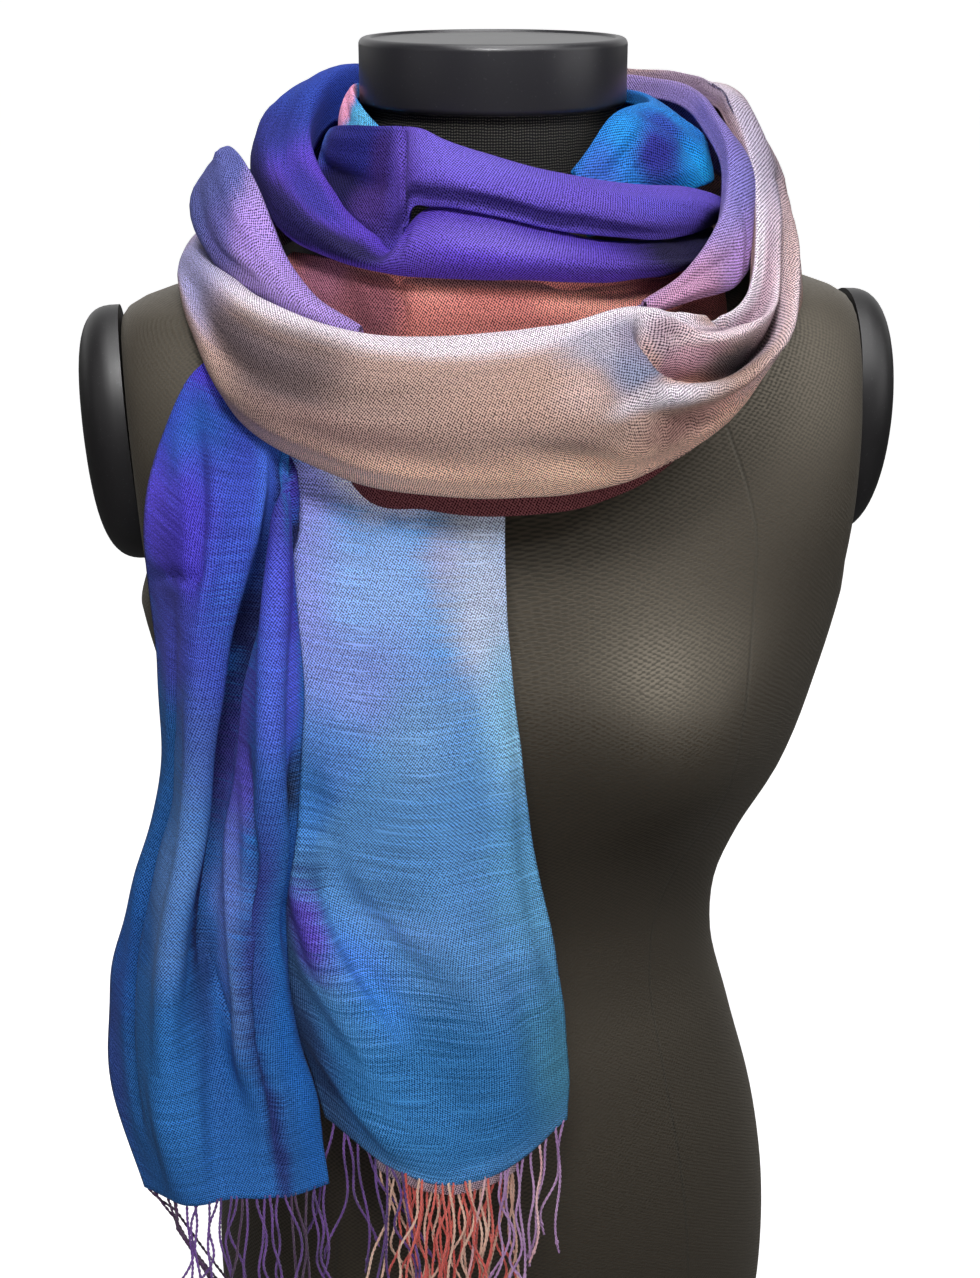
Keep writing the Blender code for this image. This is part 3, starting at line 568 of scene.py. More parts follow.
def run_length(points, axis):
    """How far each point of a grid lies along its row or column, from the start of that line."""
    steps = np.linalg.norm(np.diff(points, axis=axis), axis=-1)
    return np.cumsum(np.pad(steps, [(1, 0) if k == axis else (0, 0) for k in (0, 1)]), axis=axis)


def ripple(points, size, seed):
    """Slow unevenness from a few crossed waves, between -1 and 1, at points in metres."""
    draw = random.Random(seed)
    total = np.zeros(points.shape[:-1])
    for k in range(7):
        way = np.array([draw.uniform(-1, 1) for _ in range(3)])
        way *= (0.7 + 0.25 * k) * 2 * math.pi / size / np.linalg.norm(way)
        total += np.sin(points @ way + draw.uniform(0, 6.3)) / 3.5
    return total


def lay_cloth(name, face, places, rows, columns, folds, even_rows=False, wander=0.0006, seed=1, ring=False):
    """A thin sheet on a face, with its folds pressed in. columns counts those from each place to the next,
    wander is how far the cloth strays from the face, and a ring's two ends are merged. The weave's UV map is
    in metres: even_rows lets its width follow each row, and otherwise the middle row sets it."""
    bpy.ops.object.select_all(action="DESELECT")
    counts = np.atleast_1d(columns)
    columns = int(counts.sum())
    bpy.ops.mesh.primitive_grid_add(x_subdivisions=columns, y_subdivisions=rows, size=1.0)
    sheet = bpy.context.object
    sheet.name = name
    shares = np.linspace(0, 1, rows + 1)
    stations = np.interp(np.arange(columns + 1), np.r_[0, np.cumsum(counts)], places)
    points = face(stations, shares[:, None])
    down_cloth = unit(np.gradient(points, axis=0))
    out = unit(np.cross(np.gradient(points, axis=0), np.gradient(points, axis=1)))
    lift = wander * ripple(points, RIPPLE_SIZE, seed)
    slip = np.zeros(points.shape[:2])
    steps = np.linspace(0, 1, FOLD_STEPS)
    for path, half_width, height, crisp, *sag in folds:
        knots = np.column_stack([np.linspace(0, 1, len(path)), np.array(path, float)])
        line = face(*between(knots, steps).T)
        away = np.linalg.norm(points[:, :, None] - line, axis=-1)
        near = away.argmin(axis=-1)
        away = away.min(axis=-1) / half_width
        profile = np.where(away < 1, np.where(crisp, (1 - away) ** 2, 0.5 + 0.5 * np.cos(np.pi * away)), 0)
        profile *= np.sin(np.pi * np.clip(steps[near], 0.01, 0.99)) ** FOLD_FADE
        lift += height * profile
        slip += sum(sag) * profile
    points = points + out * lift[..., None] + down_cloth * slip[..., None]
    along, down = run_length(points, 1), run_length(points, 0)
    if even_rows:
        along = along - along[:, columns // 2, None]
        edges = np.pad(along, ((EVENED_ROWS // 2, EVENED_ROWS // 2), (0, 0)), mode="edge")
        along = sum(edges[k:k + rows + 1] for k in range(EVENED_ROWS)) / EVENED_ROWS
        down = np.broadcast_to(down.mean(axis=1, keepdims=True), down.shape)
    else:
        along = np.broadcast_to(along[rows // 2], down.shape)
    weave = np.stack([along, -down], axis=-1)
    dye = np.stack(np.broadcast_arrays(stations, shares[:, None]), axis=-1)
    corners = corner_vertices(sheet.data)
    while sheet.data.uv_layers:
        sheet.data.uv_layers.remove(sheet.data.uv_layers[0])
    write_points(sheet.data, points[::-1].reshape(-1, 3))
    give_uv(sheet.data, "weave", weave[::-1].reshape(-1, 2)[corners])
    give_uv(sheet.data, "dye", dye[::-1].reshape(-1, 2)[corners])
    if ring:
        bpy.ops.object.mode_set(mode="EDIT")
        bpy.ops.mesh.select_all(action="SELECT")
        bpy.ops.mesh.remove_doubles(threshold=SEAM_MERGE)
        bpy.ops.object.mode_set(mode="OBJECT")
    thicken = sheet.modifiers.new("Thickness", "SOLIDIFY")
    thicken.thickness = CLOTH_WALL
    thicken.offset = -1
    bpy.ops.object.shade_smooth()
    return sheet


# The weave that all of the scarf's cloth has: crossed fine yarns with pale flecks, uneven lines along the
# weft and now and then a thicker slub.
WEAVE_LEAN, WARP_PITCH, WEFT_PITCH = math.radians(-16), 0.0014, 0.0018
weave_group, given, result = new_group(
    "scarf weave", {"Place": "Vector"}, {"Fleck": "Float", "Streak": "Float", "Slub": "Float"})
spot = given["Place"]
wobble = node(weave_group, "TexNoise", {"Vector": spot, "Scale": 260.0, "Detail": 1.0})
bent = vector_maths(weave_group, "MULTIPLY_ADD", wobble.outputs["Color"], (0.0003, 0.0003, 0), spot)
lean = node(weave_group, "Mapping", {0: bent, "Rotation": (0, 0, WEAVE_LEAN)})
rates = (2 * math.pi / WARP_PITCH, 2 * math.pi / WEFT_PITCH, 0)
turns = vector_maths(weave_group, "MULTIPLY", lean, rates)
parts = node(weave_group, "SeparateXYZ", {0: turns})
warp = maths(weave_group, "SINE", parts.outputs[0])
weft = maths(weave_group, "SINE", parts.outputs[1])
checks = maths(weave_group, "MULTIPLY", warp, weft)
fine = vector_maths(weave_group, "MULTIPLY", lean, (900, 1700, 1))
grain = node(weave_group, "TexNoise", {"Vector": fine, "Scale": 1.0, "Detail": 1.5, "Roughness": 0.6})
mixed = maths(weave_group, "MULTIPLY_ADD", checks, 0.30, grain)
fleck = ramp(weave_group, mixed, 0.34, 0.60)
lines = vector_maths(weave_group, "MULTIPLY", spot, (22, 1100, 1))
streak = node(weave_group, "TexNoise", {"Vector": lines, "Scale": 1.0, "Detail": 2.0})
streak = ramp(weave_group, streak, 0.32, 0.68)
lines = vector_maths(weave_group, "MULTIPLY", spot, (38, 820, 1))
slub = node(weave_group, "TexNoise", {"Vector": lines, "Scale": 1.0, "Detail": 0.0})
slub = ramp(weave_group, slub, 0.70, 0.80)
for key, output in (("Fleck", fleck), ("Streak", streak), ("Slub", slub)):
    plug(weave_group, output, result[key])

# One patch of colour, as an oval with a soft edge laid over the colour under it. Most patches are dye; some
# are painted shade and painted light, marked in the tables. Scale and Shift bring a place to 1 at the oval's
# rim, Blur moves the edge, and Outside and Inside are where it begins and ends.
patch_group, given, result = new_group("dye and painted light patch", {
    "Place": "Vector", "Scale": "Vector", "Shift": "Vector", "Blur": "Float", "Outside": "Float",
    "Inside": "Float", "Strength": "Float", "Under": "Color", "Dye and painted light": "Color",
}, {"Colour": "Color"})
scaled = vector_maths(patch_group, "MULTIPLY_ADD", given["Place"], given["Scale"], given["Shift"])
away = vector_maths(patch_group, "LENGTH", scaled)
away = maths(patch_group, "ADD", away, given["Blur"])
mask = ramp(patch_group, away, given["Outside"], given["Inside"], 0.0, given["Strength"], smooth=True)
laid = blend(patch_group, mask, given["Under"], given["Dye and painted light"])
plug(patch_group, laid, result["Colour"])
# The cloud noise strays about a quarter either way, and CLOUD_GAIN brings that to about 1. The threads' tops
# are lighter than the dye's own colour, with some white in them.
CLOUD_GAIN, THREAD_LIGHT, PALE_THREAD = 4, 1.70, (0.95, 0.90, 0.92, 1)


def swatch(red, green, blue):
    """A colour read off a swatch in 0 to 255 steps, as the shader wants it."""
    return (*(((c / 255 + 0.055) / 1.055) ** 2.4 for c in (red, green, blue)), 1.0)


def dyed_cloth(name, ground, patches, fleck_light=0.14, streaks=0.10, stray=(1.5, 0.02), slubs=0.0,
               depth=0.13):
    """Dyed cashmere. Patches lie one on the other on the ground colour: colour, place, half sizes,
    softness of the edge and strength. Most are dye; some are painted shade and painted light, marked in the
    tables. fleck_light is how pale the threads' tops are, streaks and slubs how strong those are, stray how
    far the patches' edges wander, in the units of place, and depth how much of the colour is left in the gaps
    between the threads."""
    made, tree = new_material(name)
    cloth = node(tree, "UVMap", uv_map="weave")
    weave = node(tree, "Group", {"Place": cloth}, node_tree=weave_group)
    spot = node(tree, "UVMap", uv_map="dye")
    cloud = node(tree, "TexNoise", {"Vector": cloth, "Scale": 28.0, "Detail": 3.0})
    centred = vector_maths(tree, "SUBTRACT", cloud.outputs["Color"], (0.5, 0.5, 0.5))
    reach = (stray[0] * CLOUD_GAIN, stray[1] * CLOUD_GAIN, 0)
    strayed = vector_maths(tree, "MULTIPLY_ADD", centred, reach, spot)
    blur = ramp(tree, weave.outputs["Streak"], 0.0, 1.0, -streaks, streaks)
    colour = node(tree, "RGB").outputs[0]
    colour.default_value = swatch(*ground)
    for dye, place, half, soft, strength in patches:
        colour = node(tree, "Group", {
            "Place": strayed, "Scale": (1 / half[0], 1 / half[1], 0),
            "Shift": (-place[0] / half[0], -place[1] / half[1], 0), "Blur": blur,
            "Outside": 1 + soft, "Inside": 1 - soft, "Strength": strength,
            "Under": colour, "Dye and painted light": swatch(*dye),
        }, node_tree=patch_group).outputs[0]
    bright = vector_maths(tree, "SCALE", colour, Scale=THREAD_LIGHT)
    pale = blend(tree, fleck_light, bright, PALE_THREAD)
    deep = vector_maths(tree, "MULTIPLY", colour, (depth, 0.8 * depth, 1.2 * depth))
    thread = blend(tree, weave.outputs["Fleck"], deep, pale)
    line = ramp(tree, weave.outputs["Streak"], 0.0, 1.0, 1 - streaks, 1 + streaks)
    lined = vector_maths(tree, "SCALE", thread, Scale=line)
    if slubs:
        thick = maths(tree, "MULTIPLY", weave.outputs["Slub"], slubs)
        lined = blend(tree, thick, lined, pale)
    raised = node(tree, "Bump", {"Strength": 0.25, "Distance": 0.0003, "Height": weave.outputs["Fleck"]})
    surface(tree, {
        "Base Color": lined, "Roughness": 0.8, "Specular IOR Level": 0.08,
        "Sheen Weight": 0.02, "Sheen Roughness": 0.35, "Normal": raised,
    })
    return made


outer_wrap = lay_cloth("outer_wrap", wound(OUTER_WRAP, 360), (-180, 8, 72, 180), 76, (140, 120, 80),
                       OUTER_FOLDS, seed=3, ring=True)
# colour, (azimuth, across), half sizes, softness, strength
outer_wrap.data.materials.append(dyed_cloth("beige_cashmere", (164, 132, 118), [
    ((224, 214, 224), (0, 0.24), (150, 0.085), 0.35, 0.9),
    ((166, 164, 216), (-82, 0.38), (17, 0.16), 0.6, 0.95),
    # painted shade: dark brown in the long hollow on the left
    ((68, 42, 44), (-42, 0.44), (15, 0.12), 0.6, 0.95),
    # painted shade: the deep hollow above it
    ((60, 36, 46), (-57, 0.39), (11, 0.05), 0.7, 0.95),
    ((144, 108, 100), (-33, 0.57), (14, 0.07), 0.7, 0.8),
    ((140, 110, 98), (-18, 0.44), (14, 0.07), 0.7, 0.8),
    ((158, 124, 108), (0, 0.45), (14, 0.06), 0.7, 0.8),
    # peach, partly dye and partly painted light on the downward-facing foot
    ((240, 196, 168), (-4, 0.69), (44, 0.08), 0.7, 0.9),
    # peach, partly dye and partly painted light on the foot
    ((240, 190, 168), (40, 0.69), (20, 0.10), 0.7, 0.95),
    ((152, 150, 168), (14, 0.34), (9, 0.06), 0.6, 0.9),
    # blue-grey, partly dye and partly painted shade in the hollow at the swirl's left
    ((102, 114, 146), (17, 0.415), (6, 0.05), 0.7, 0.95),
    ((214, 206, 216), (20, 0.495), (8, 0.035), 0.7, 0.9),
    ((112, 66, 54), (25, 0.60), (8, 0.040), 0.7, 0.95),
    ((220, 166, 154), (36, 0.58), (8, 0.05), 0.7, 0.8),
    ((210, 186, 196), (46, 0.34), (22, 0.05), 0.6, 0.9),
    # painted shade: mauve in the swirl's deep valley
    ((162, 116, 132), (27, 0.400), (7, 0.026), 0.6, 0.9),
    # painted shade: the valley's darkest part
    ((40, 24, 32), (40, 0.412), (8, 0.021), 0.6, 0.97),
    # painted shade: the valley's right end
    ((84, 58, 62), (49, 0.402), (6, 0.018), 0.7, 0.9),
    ((196, 150, 132), (28, 0.447), (8, 0.020), 0.6, 0.9),
    ((214, 192, 204), (47, 0.455), (12, 0.026), 0.7, 0.9),
    # painted shade: mauve in the small trough above the pale roll
    ((150, 116, 134), (48, 0.303), (10, 0.018), 0.7, 0.8),
    ((190, 152, 138), (37, 0.275), (4, 0.026), 0.7, 0.8),
    # painted shade: mauve along the same trough
    ((112, 82, 102), (40, 0.326), (9, 0.012), 0.7, 0.9),
    # painted shade: mauve beside the tan lip
    ((140, 112, 124), (24.0, 0.330), (2.0, 0.045), 0.7, 0.85),
    # painted light: the lit tan lip at the swirl's left
    ((204, 164, 144), (20.8, 0.375), (1.3, 0.050), 0.7, 0.7),
    # painted highlight along the pale roll above the valley
    ((232, 210, 216), (34, 0.362), (7, 0.012), 0.7, 0.85),
    # painted highlight along the pale roll
    ((232, 212, 220), (47, 0.350), (7, 0.013), 0.7, 0.85),
    # painted shade: blue-grey at the lip's left
    ((112, 104, 132), (17.5, 0.345), (2.5, 0.05), 0.8, 0.8),
    # painted shade: near black at the valley's deepest point
    ((20, 10, 16), (38.5, 0.420), (5.5, 0.016), 0.7, 0.96),
    ((180, 152, 144), (8, 0.44), (5, 0.05), 0.7, 0.8),
    # painted light on the swirl's lower wall, which faces down
    ((232, 210, 220), (54, 0.58), (12, 0.09), 0.7, 0.8),
    ((146, 138, 164), (72, 0.34), (12, 0.14), 0.7, 0.85),
    ((176, 164, 186), (82, 0.22), (16, 0.12), 0.7, 0.6),
    ((146, 122, 152), (104, 0.10), (26, 0.14), 0.6, 0.8),
    ((196, 158, 154), (100, 0.56), (26, 0.18), 0.8, 0.6),
    ((150, 144, 188), (-140, 0.40), (36, 0.26), 0.8, 0.7),
    ((150, 144, 188), (220, 0.40), (36, 0.26), 0.8, 0.7),
], stray=(1.6, 0.007)))
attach(outer_wrap, "root")
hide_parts("scarf_outer_wrap")

# Middle wrap. A lilac stretch that starts under the right collarbone as a folded tongue, goes round the
# back inside the outer wrap and stands up again as a fold on the left shoulder.
MIDDLE_WRAP = [
    (25, 0.1205, 0.618, 0.1235, 0.6155, 0.1225, 0.612),
    (38, 0.1190, 0.629, 0.1250, 0.624, 0.1240, 0.616),
    (52, 0.1185, 0.650, 0.1275, 0.640, 0.1270, 0.619),
    (65, 0.1115, 0.675, 0.1235, 0.662, 0.1250, 0.630),
    (78, 0.1000, 0.689, 0.1090, 0.680, 0.1180, 0.648),
    (95, 0.0950, 0.696, 0.1040, 0.687, 0.1140, 0.655),
    (120, 0.0910, 0.698, 0.1010, 0.686, 0.1060, 0.655),
    (150, 0.0915, 0.696, 0.1010, 0.683, 0.1035, 0.650),
    (180, 0.0930, 0.690, 0.1010, 0.676, 0.1030, 0.645),
    (215, 0.1020, 0.680, 0.1070, 0.668, 0.1070, 0.642),
    (240, 0.1090, 0.664, 0.1150, 0.654, 0.1150, 0.636),
    (256, 0.1150, 0.659, 0.1250, 0.648, 0.1220, 0.630),
    (266, 0.1220, 0.666, 0.1370, 0.650, 0.1270, 0.626),
    (276, 0.1240, 0.674, 0.1415, 0.648, 0.1290, 0.622),
    (285, 0.1210, 0.669, 0.1410, 0.640, 0.1290, 0.618),
    (293, 0.1195, 0.656, 0.1380, 0.634, 0.1285, 0.615),
    (301, 0.1190, 0.637, 0.1330, 0.628, 0.1270, 0.610),
    (311, 0.1190, 0.621, 0.1275, 0.615, 0.1245, 0.603),
    (325, 0.1195, 0.608, 0.1235, 0.603, 0.1225, 0.594),
]
MIDDLE_FOLDS = [
    ([(52, 0.36), (51.5, 0.50), (51, 0.72)], 0.0030, 0.0024, 1),
    ([(56, 0.34), (55.5, 0.50), (54.5, 0.74)], 0.0035, -0.0020, 0),
    ([(26, 0.56), (33, 0.55), (41, 0.62), (50, 0.72)], 0.0040, 0.0024, 0),
    ([(34, 0.42), (42, 0.48), (49, 0.54)], 0.0035, -0.0018, 0),
    ([(66, 0.40), (86, 0.44), (104, 0.42)], 0.0060, -0.0022, 0),
    ([(272, 0.28), (279, 0.31), (287, 0.34), (296, 0.36), (305, 0.40), (313, 0.44)], 0.0055, 0.0040, 1),
    ([(274, 0.40), (284, 0.47), (293, 0.54), (302, 0.58)], 0.0070, -0.0030, 0),
    ([(120, 0.46), (160, 0.50), (200, 0.46)], 0.0060, -0.0018, 0),
]
middle_wrap = lay_cloth("middle_wrap", wound(MIDDLE_WRAP), (25, 325), 36, 300, MIDDLE_FOLDS,
                        wander=0.0004, seed=5)
middle_wrap.data.materials.append(dyed_cloth("lilac_cashmere", (140, 118, 182), [
    ((176, 124, 158), (34, 0.60), (13, 0.40), 0.6, 0.95),
    ((196, 152, 224), (54, 0.64), (7, 0.18), 0.6, 0.9),
    ((110, 104, 184), (62, 0.34), (10, 0.26), 0.7, 0.9),
    ((104, 90, 166), (76, 0.20), (14, 0.20), 0.7, 0.85),
    ((128, 104, 158), (124, 0.50), (30, 0.40), 0.7, 0.7),
    ((70, 80, 158), (271, 0.40), (20, 0.40), 0.2, 1.0),
    ((84, 80, 164), (291, 0.48), (6, 0.12), 0.6, 0.9),
    ((158, 124, 210), (302, 0.34), (9, 0.16), 0.4, 0.95),
    ((158, 128, 202), (314, 0.46), (14, 0.26), 0.6, 0.9),
], fleck_light=0.10))
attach(middle_wrap, "root")
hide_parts("scarf_middle_wrap")

# Rust wrap. The rust-red stretch that lies nearest the chest. It shows above the outer wrap and again as a
# thin deep-red line below it.
RUST_WRAP = [
    (-66, 0.1045, 0.631, 0.1145, 0.623, 0.1175, 0.612),
    (-50, 0.1035, 0.630, 0.1140, 0.607, 0.1178, 0.579),
    (-38, 0.1030, 0.628, 0.1140, 0.597, 0.1213, 0.541),
    (-20, 0.1030, 0.627, 0.1150, 0.591, 0.1235, 0.534),
    (0, 0.1030, 0.626, 0.1150, 0.589, 0.1245, 0.5325),
    (20, 0.1030, 0.623, 0.1150, 0.591, 0.1240, 0.538),
    (40, 0.1030, 0.622, 0.1150, 0.598, 0.1225, 0.556),
    (60, 0.1035, 0.624, 0.1140, 0.614, 0.1162, 0.5935),
]
RUST_FOLDS = [
    ([(-31, 0.26), (-28.5, 0.35), (-26, 0.46)], 0.0040, -0.0034, 1),
    ([(-46, 0.26), (-38, 0.35), (-32, 0.44)], 0.0050, 0.0016, 0),
    ([(-22, 0.32), (0, 0.37), (20, 0.36)], 0.0050, 0.0014, 0),
    ([(6, 0.28), (24, 0.31), (42, 0.34)], 0.0040, -0.0010, 0),
]
rust_wrap = lay_cloth("rust_wrap", wound(RUST_WRAP, tuck=0.003), (-66, 60), 44, 150, RUST_FOLDS,
                      wander=0.0004, seed=7)
rust_wrap.data.materials.append(dyed_cloth("rust_cashmere", (188, 108, 100), [
    ((146, 84, 108), (-50, 0.34), (10, 0.16), 0.6, 0.95),
    ((116, 54, 68), (-36, 0.38), (8, 0.12), 0.6, 0.95),
    ((206, 130, 120), (-21, 0.30), (7, 0.06), 0.7, 0.9),
    ((242, 166, 146), (18, 0.32), (12, 0.05), 0.7, 0.9),
    ((124, 50, 46), (44, 0.32), (11, 0.14), 0.6, 0.9),
    # painted shadow: the lower roll's shadow across the top of the rust wrap
    ((92, 50, 56), (-6, 0.262), (34, 0.022), 0.7, 0.9),
    ((90, 16, 24), (-8, 0.80), (70, 0.16), 0.3, 1.0),
], fleck_light=0.07, stray=(1.5, 0.010)))
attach(rust_wrap, "root")
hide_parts("scarf_rust_wrap")

# Lower roll. A blue and violet stretch rolled into a thick tube. It comes from behind the neck over the left
# shoulder and runs across the front below the upper roll.
LOWER_ROLL = [
    (-215, 0.071, 0.690, 0.083, 0.675, 0.083, 0.652),
    (-180, 0.072, 0.700, 0.087, 0.682, 0.086, 0.650),
    (-150, 0.075, 0.704, 0.095, 0.690, 0.093, 0.655),
    (-110, 0.081, 0.700, 0.106, 0.688, 0.103, 0.655),
    (-85, 0.087, 0.681, 0.111, 0.672, 0.110, 0.655),
    (-70, 0.090, 0.668, 0.1152, 0.660, 0.112, 0.647),
    (-59, 0.092, 0.659, 0.1172, 0.651, 0.112, 0.639),
    (-49, 0.095, 0.650, 0.117, 0.644, 0.112, 0.635),
    (-39, 0.098, 0.643, 0.116, 0.638, 0.112, 0.631),
    (-32, 0.100, 0.638, 0.115, 0.635, 0.112, 0.6295),
    (-27, 0.0990, 0.651, 0.117, 0.640, 0.112, 0.629),
    (-21, 0.0990, 0.6570, 0.1185, 0.642, 0.112, 0.629),
    (-12, 0.0995, 0.6555, 0.119, 0.641, 0.112, 0.629),
    (-4, 0.0995, 0.6525, 0.119, 0.639, 0.112, 0.6285),
    (20, 0.0995, 0.642, 0.117, 0.634, 0.111, 0.6255),
    (36, 0.0995, 0.639, 0.115, 0.632, 0.110, 0.625),
    (55, 0.098, 0.637, 0.111, 0.632, 0.107, 0.625),
    (76, 0.096, 0.637, 0.104, 0.634, 0.101, 0.627),
]
LOWER_FOLDS = [
    ([(-104, 0.48), (-84, 0.44), (-63, 0.43), (-48, 0.44), (-36, 0.47)], 0.0060, 0.0022, 0),
    ([(-118, 0.38), (-92, 0.37), (-73, 0.37), (-58, 0.35), (-42, 0.36)], 0.0050, -0.0026, 0),
    ([(-80, 0.54), (-60, 0.55), (-44, 0.56)], 0.0050, -0.0018, 0),
    ([(-150, 0.40), (-130, 0.46), (-108, 0.52)], 0.0060, -0.0020, 0),
    ([(-27, 0.32), (-27, 0.42), (-28, 0.54)], 0.0045, -0.0030, 0),
    ([(-20, 0.42), (0, 0.48), (24, 0.50)], 0.0050, 0.0012, 0),
    ([(30, 0.44), (44, 0.48), (58, 0.50)], 0.0040, -0.0014, 0),
]
LOWER_TUCK = [(-215, 0.009, 0.004), (-170, 0.018, 0.004), (-110, 0.022, 0.003), (-92, 0.018, 0.002),
              (-70, 0.010, 0.004), (76, 0.009, 0.004)]
lower_roll = lay_cloth("lower_roll", wound(LOWER_ROLL, tuck=LOWER_TUCK), (-215, 76), 36, 300, LOWER_FOLDS,
                       wander=0.0004, seed=9)
lower_roll.data.materials.append(dyed_cloth("blue_cashmere", (84, 56, 176), [
    ((34, 62, 156), (-118, 0.50), (40, 0.75), 0.3, 1.0),
    ((28, 34, 116), (-88, 0.46), (12, 0.16), 0.8, 0.9),
    # navy, partly dye and partly painted shade on the roll's underside
    ((14, 5, 70), (-58, 0.53), (29, 0.13), 0.35, 0.97),
    ((46, 42, 136), (-60, 0.33), (14, 0.06), 0.6, 0.9),
    # navy, partly dye and partly painted shade on the roll's underside
    ((18, 6, 66), (-38, 0.46), (9, 0.11), 0.6, 0.95),
    ((88, 64, 170), (-25, 0.54), (8, 0.12), 0.7, 0.8),
    ((112, 92, 192), (-5, 0.40), (16, 0.08), 0.8, 0.9),
    ((82, 58, 160), (20, 0.52), (18, 0.10), 0.7, 0.8),
    # navy, partly dye and partly painted shade where the roll runs under the flap
    ((14, 9, 46), (46, 0.43), (20, 0.40), 0.5, 0.97),
    # near black, partly dye and partly painted shade where the roll runs under the flap
    ((8, 8, 50), (66, 0.50), (14, 0.50), 0.6, 0.95),
    ((50, 54, 144), (-190, 0.50), (30, 0.5), 0.6, 0.8),
], fleck_light=0.02))
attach(lower_roll, "root")
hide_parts("scarf_lower_roll")

# Upper roll. A violet stretch that starts as a flat dark-blue facet on the left, turns over and runs as a
# tube across the front of the neck to a point on the right.
UPPER_ROLL = [
    (-95, 0.0755, 0.672, 0.0800, 0.664, 0.0810, 0.652),
    (-75, 0.0790, 0.682, 0.0845, 0.666, 0.0865, 0.648),
    (-56, 0.0830, 0.686, 0.0870, 0.665, 0.0900, 0.642),
    (-40, 0.0855, 0.687, 0.0900, 0.662, 0.0940, 0.634),
    (-33, 0.0865, 0.6875, 0.0930, 0.665, 0.0954, 0.633),
    (-27, 0.0870, 0.6870, 0.1010, 0.672, 0.1010, 0.6560),
    (-22, 0.0870, 0.6840, 0.1050, 0.671, 0.1035, 0.6575),
    (-5, 0.0850, 0.676, 0.1065, 0.666, 0.1045, 0.6535),
    (10, 0.0860, 0.670, 0.1065, 0.660, 0.1045, 0.6475),
    (25, 0.0880, 0.665, 0.1070, 0.655, 0.1045, 0.6430),
    (37, 0.0920, 0.662, 0.1080, 0.652, 0.1045, 0.6400),
    (57, 0.0990, 0.658, 0.1095, 0.650, 0.1045, 0.6395),
    (76, 0.1090, 0.647, 0.1110, 0.644, 0.1060, 0.6400),
]
UPPER_FOLDS = [
    ([(-33.5, 0.28), (-31, 0.45), (-30, 0.62), (-30, 0.76)], 0.0032, -0.0034, 0),
    ([(-82, 0.44), (-66, 0.50), (-50, 0.50), (-37, 0.49)], 0.0055, -0.0042, 0),
    ([(-64, 0.60), (-50, 0.61), (-40, 0.64), (-33, 0.70)], 0.0050, 0.0028, 0),
    ([(-72, 0.34), (-58, 0.35), (-44, 0.33)], 0.0040, 0.0016, 0),
    ([(-22, 0.56), (-12, 0.62), (4, 0.64), (20, 0.62)], 0.0050, -0.0020, 0),
    ([(-14, 0.36), (8, 0.40), (34, 0.42), (56, 0.44)], 0.0050, 0.0014, 0),
]
upper_roll = lay_cloth("upper_roll", wound(UPPER_ROLL), (-95, 76), 36, 200, UPPER_FOLDS,
                       wander=0.0004, seed=11)
upper_roll.data.materials.append(dyed_cloth("violet_cashmere", (94, 74, 180), [
    # dark blue, partly dye and partly painted shade on the flat facet
    ((28, 32, 120), (-58, 0.42), (22, 0.40), 0.35, 0.97),
    ((56, 100, 190), (-80, 0.32), (8, 0.14), 0.7, 0.9),
    # partly dye and partly painted shade on the facet's lower side
    ((11, 3, 64), (-58, 0.57), (15, 0.11), 0.5, 0.97),
    ((52, 30, 108), (-40, 0.40), (5, 0.12), 0.6, 0.9),
    ((68, 42, 118), (-42, 0.58), (8, 0.12), 0.6, 0.9),
    ((88, 62, 166), (-30, 0.42), (5, 0.22), 0.7, 0.85),
    ((104, 88, 190), (-12, 0.36), (16, 0.10), 0.8, 0.85),
    ((92, 70, 174), (12, 0.48), (12, 0.07), 0.8, 0.7),
    # navy band, partly dye and partly painted shade on the roll's lower half
    ((32, 15, 92), (0, 0.632), (40, 0.060), 0.45, 0.95),
    ((86, 72, 182), (38, 0.48), (12, 0.10), 0.7, 0.8),
    # partly dye and partly painted shade on the right end's lower half
    ((16, 12, 68), (63, 0.64), (12, 0.14), 0.5, 0.95),
], fleck_light=0.02))
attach(upper_roll, "root")
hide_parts("scarf_upper_roll")

# Inner wrap. The turquoise stretch against the neck. It stands up as a pointed flap on the right, goes
# round behind the neck and shows again on the left, where it turns pink.
INNER_WRAP = [
    (25, 0.0660, 0.667, 0.0745, 0.656, 0.0790, 0.640),
    (46, 0.0660, 0.688, 0.0790, 0.675, 0.0840, 0.645),
    (62, 0.0700, 0.692, 0.0890, 0.679, 0.0930, 0.655),
    (77, 0.0740, 0.692, 0.0955, 0.677, 0.1030, 0.658),
    (92, 0.0720, 0.694, 0.0880, 0.682, 0.0950, 0.660),
    (115, 0.0670, 0.694, 0.0770, 0.684, 0.0790, 0.660),
    (150, 0.0634, 0.690, 0.0675, 0.678, 0.0675, 0.655),
    (180, 0.0624, 0.690, 0.0665, 0.676, 0.0665, 0.650),
    (230, 0.0645, 0.696, 0.0700, 0.682, 0.0690, 0.655),
    (255, 0.0655, 0.698, 0.0715, 0.684, 0.0705, 0.655),
    (280, 0.0650, 0.694, 0.0715, 0.680, 0.0715, 0.655),
    (305, 0.0645, 0.682, 0.0715, 0.672, 0.0720, 0.655),
]
INNER_FOLDS = [
    ([(30, 0.46), (38, 0.50), (48, 0.46), (56, 0.38)], 0.0050, -0.0030, 0),
    ([(36, 0.60), (51, 0.62), (68, 0.65)], 0.0055, 0.0026, 0),
    ([(58, 0.32), (63, 0.50), (70, 0.68)], 0.0050, -0.0030, 0),
    ([(66, 0.30), (74, 0.44), (80, 0.60)], 0.0050, 0.0020, 0),
    ([(262, 0.30), (276, 0.40), (292, 0.44)], 0.0035, -0.0016, 0),
]
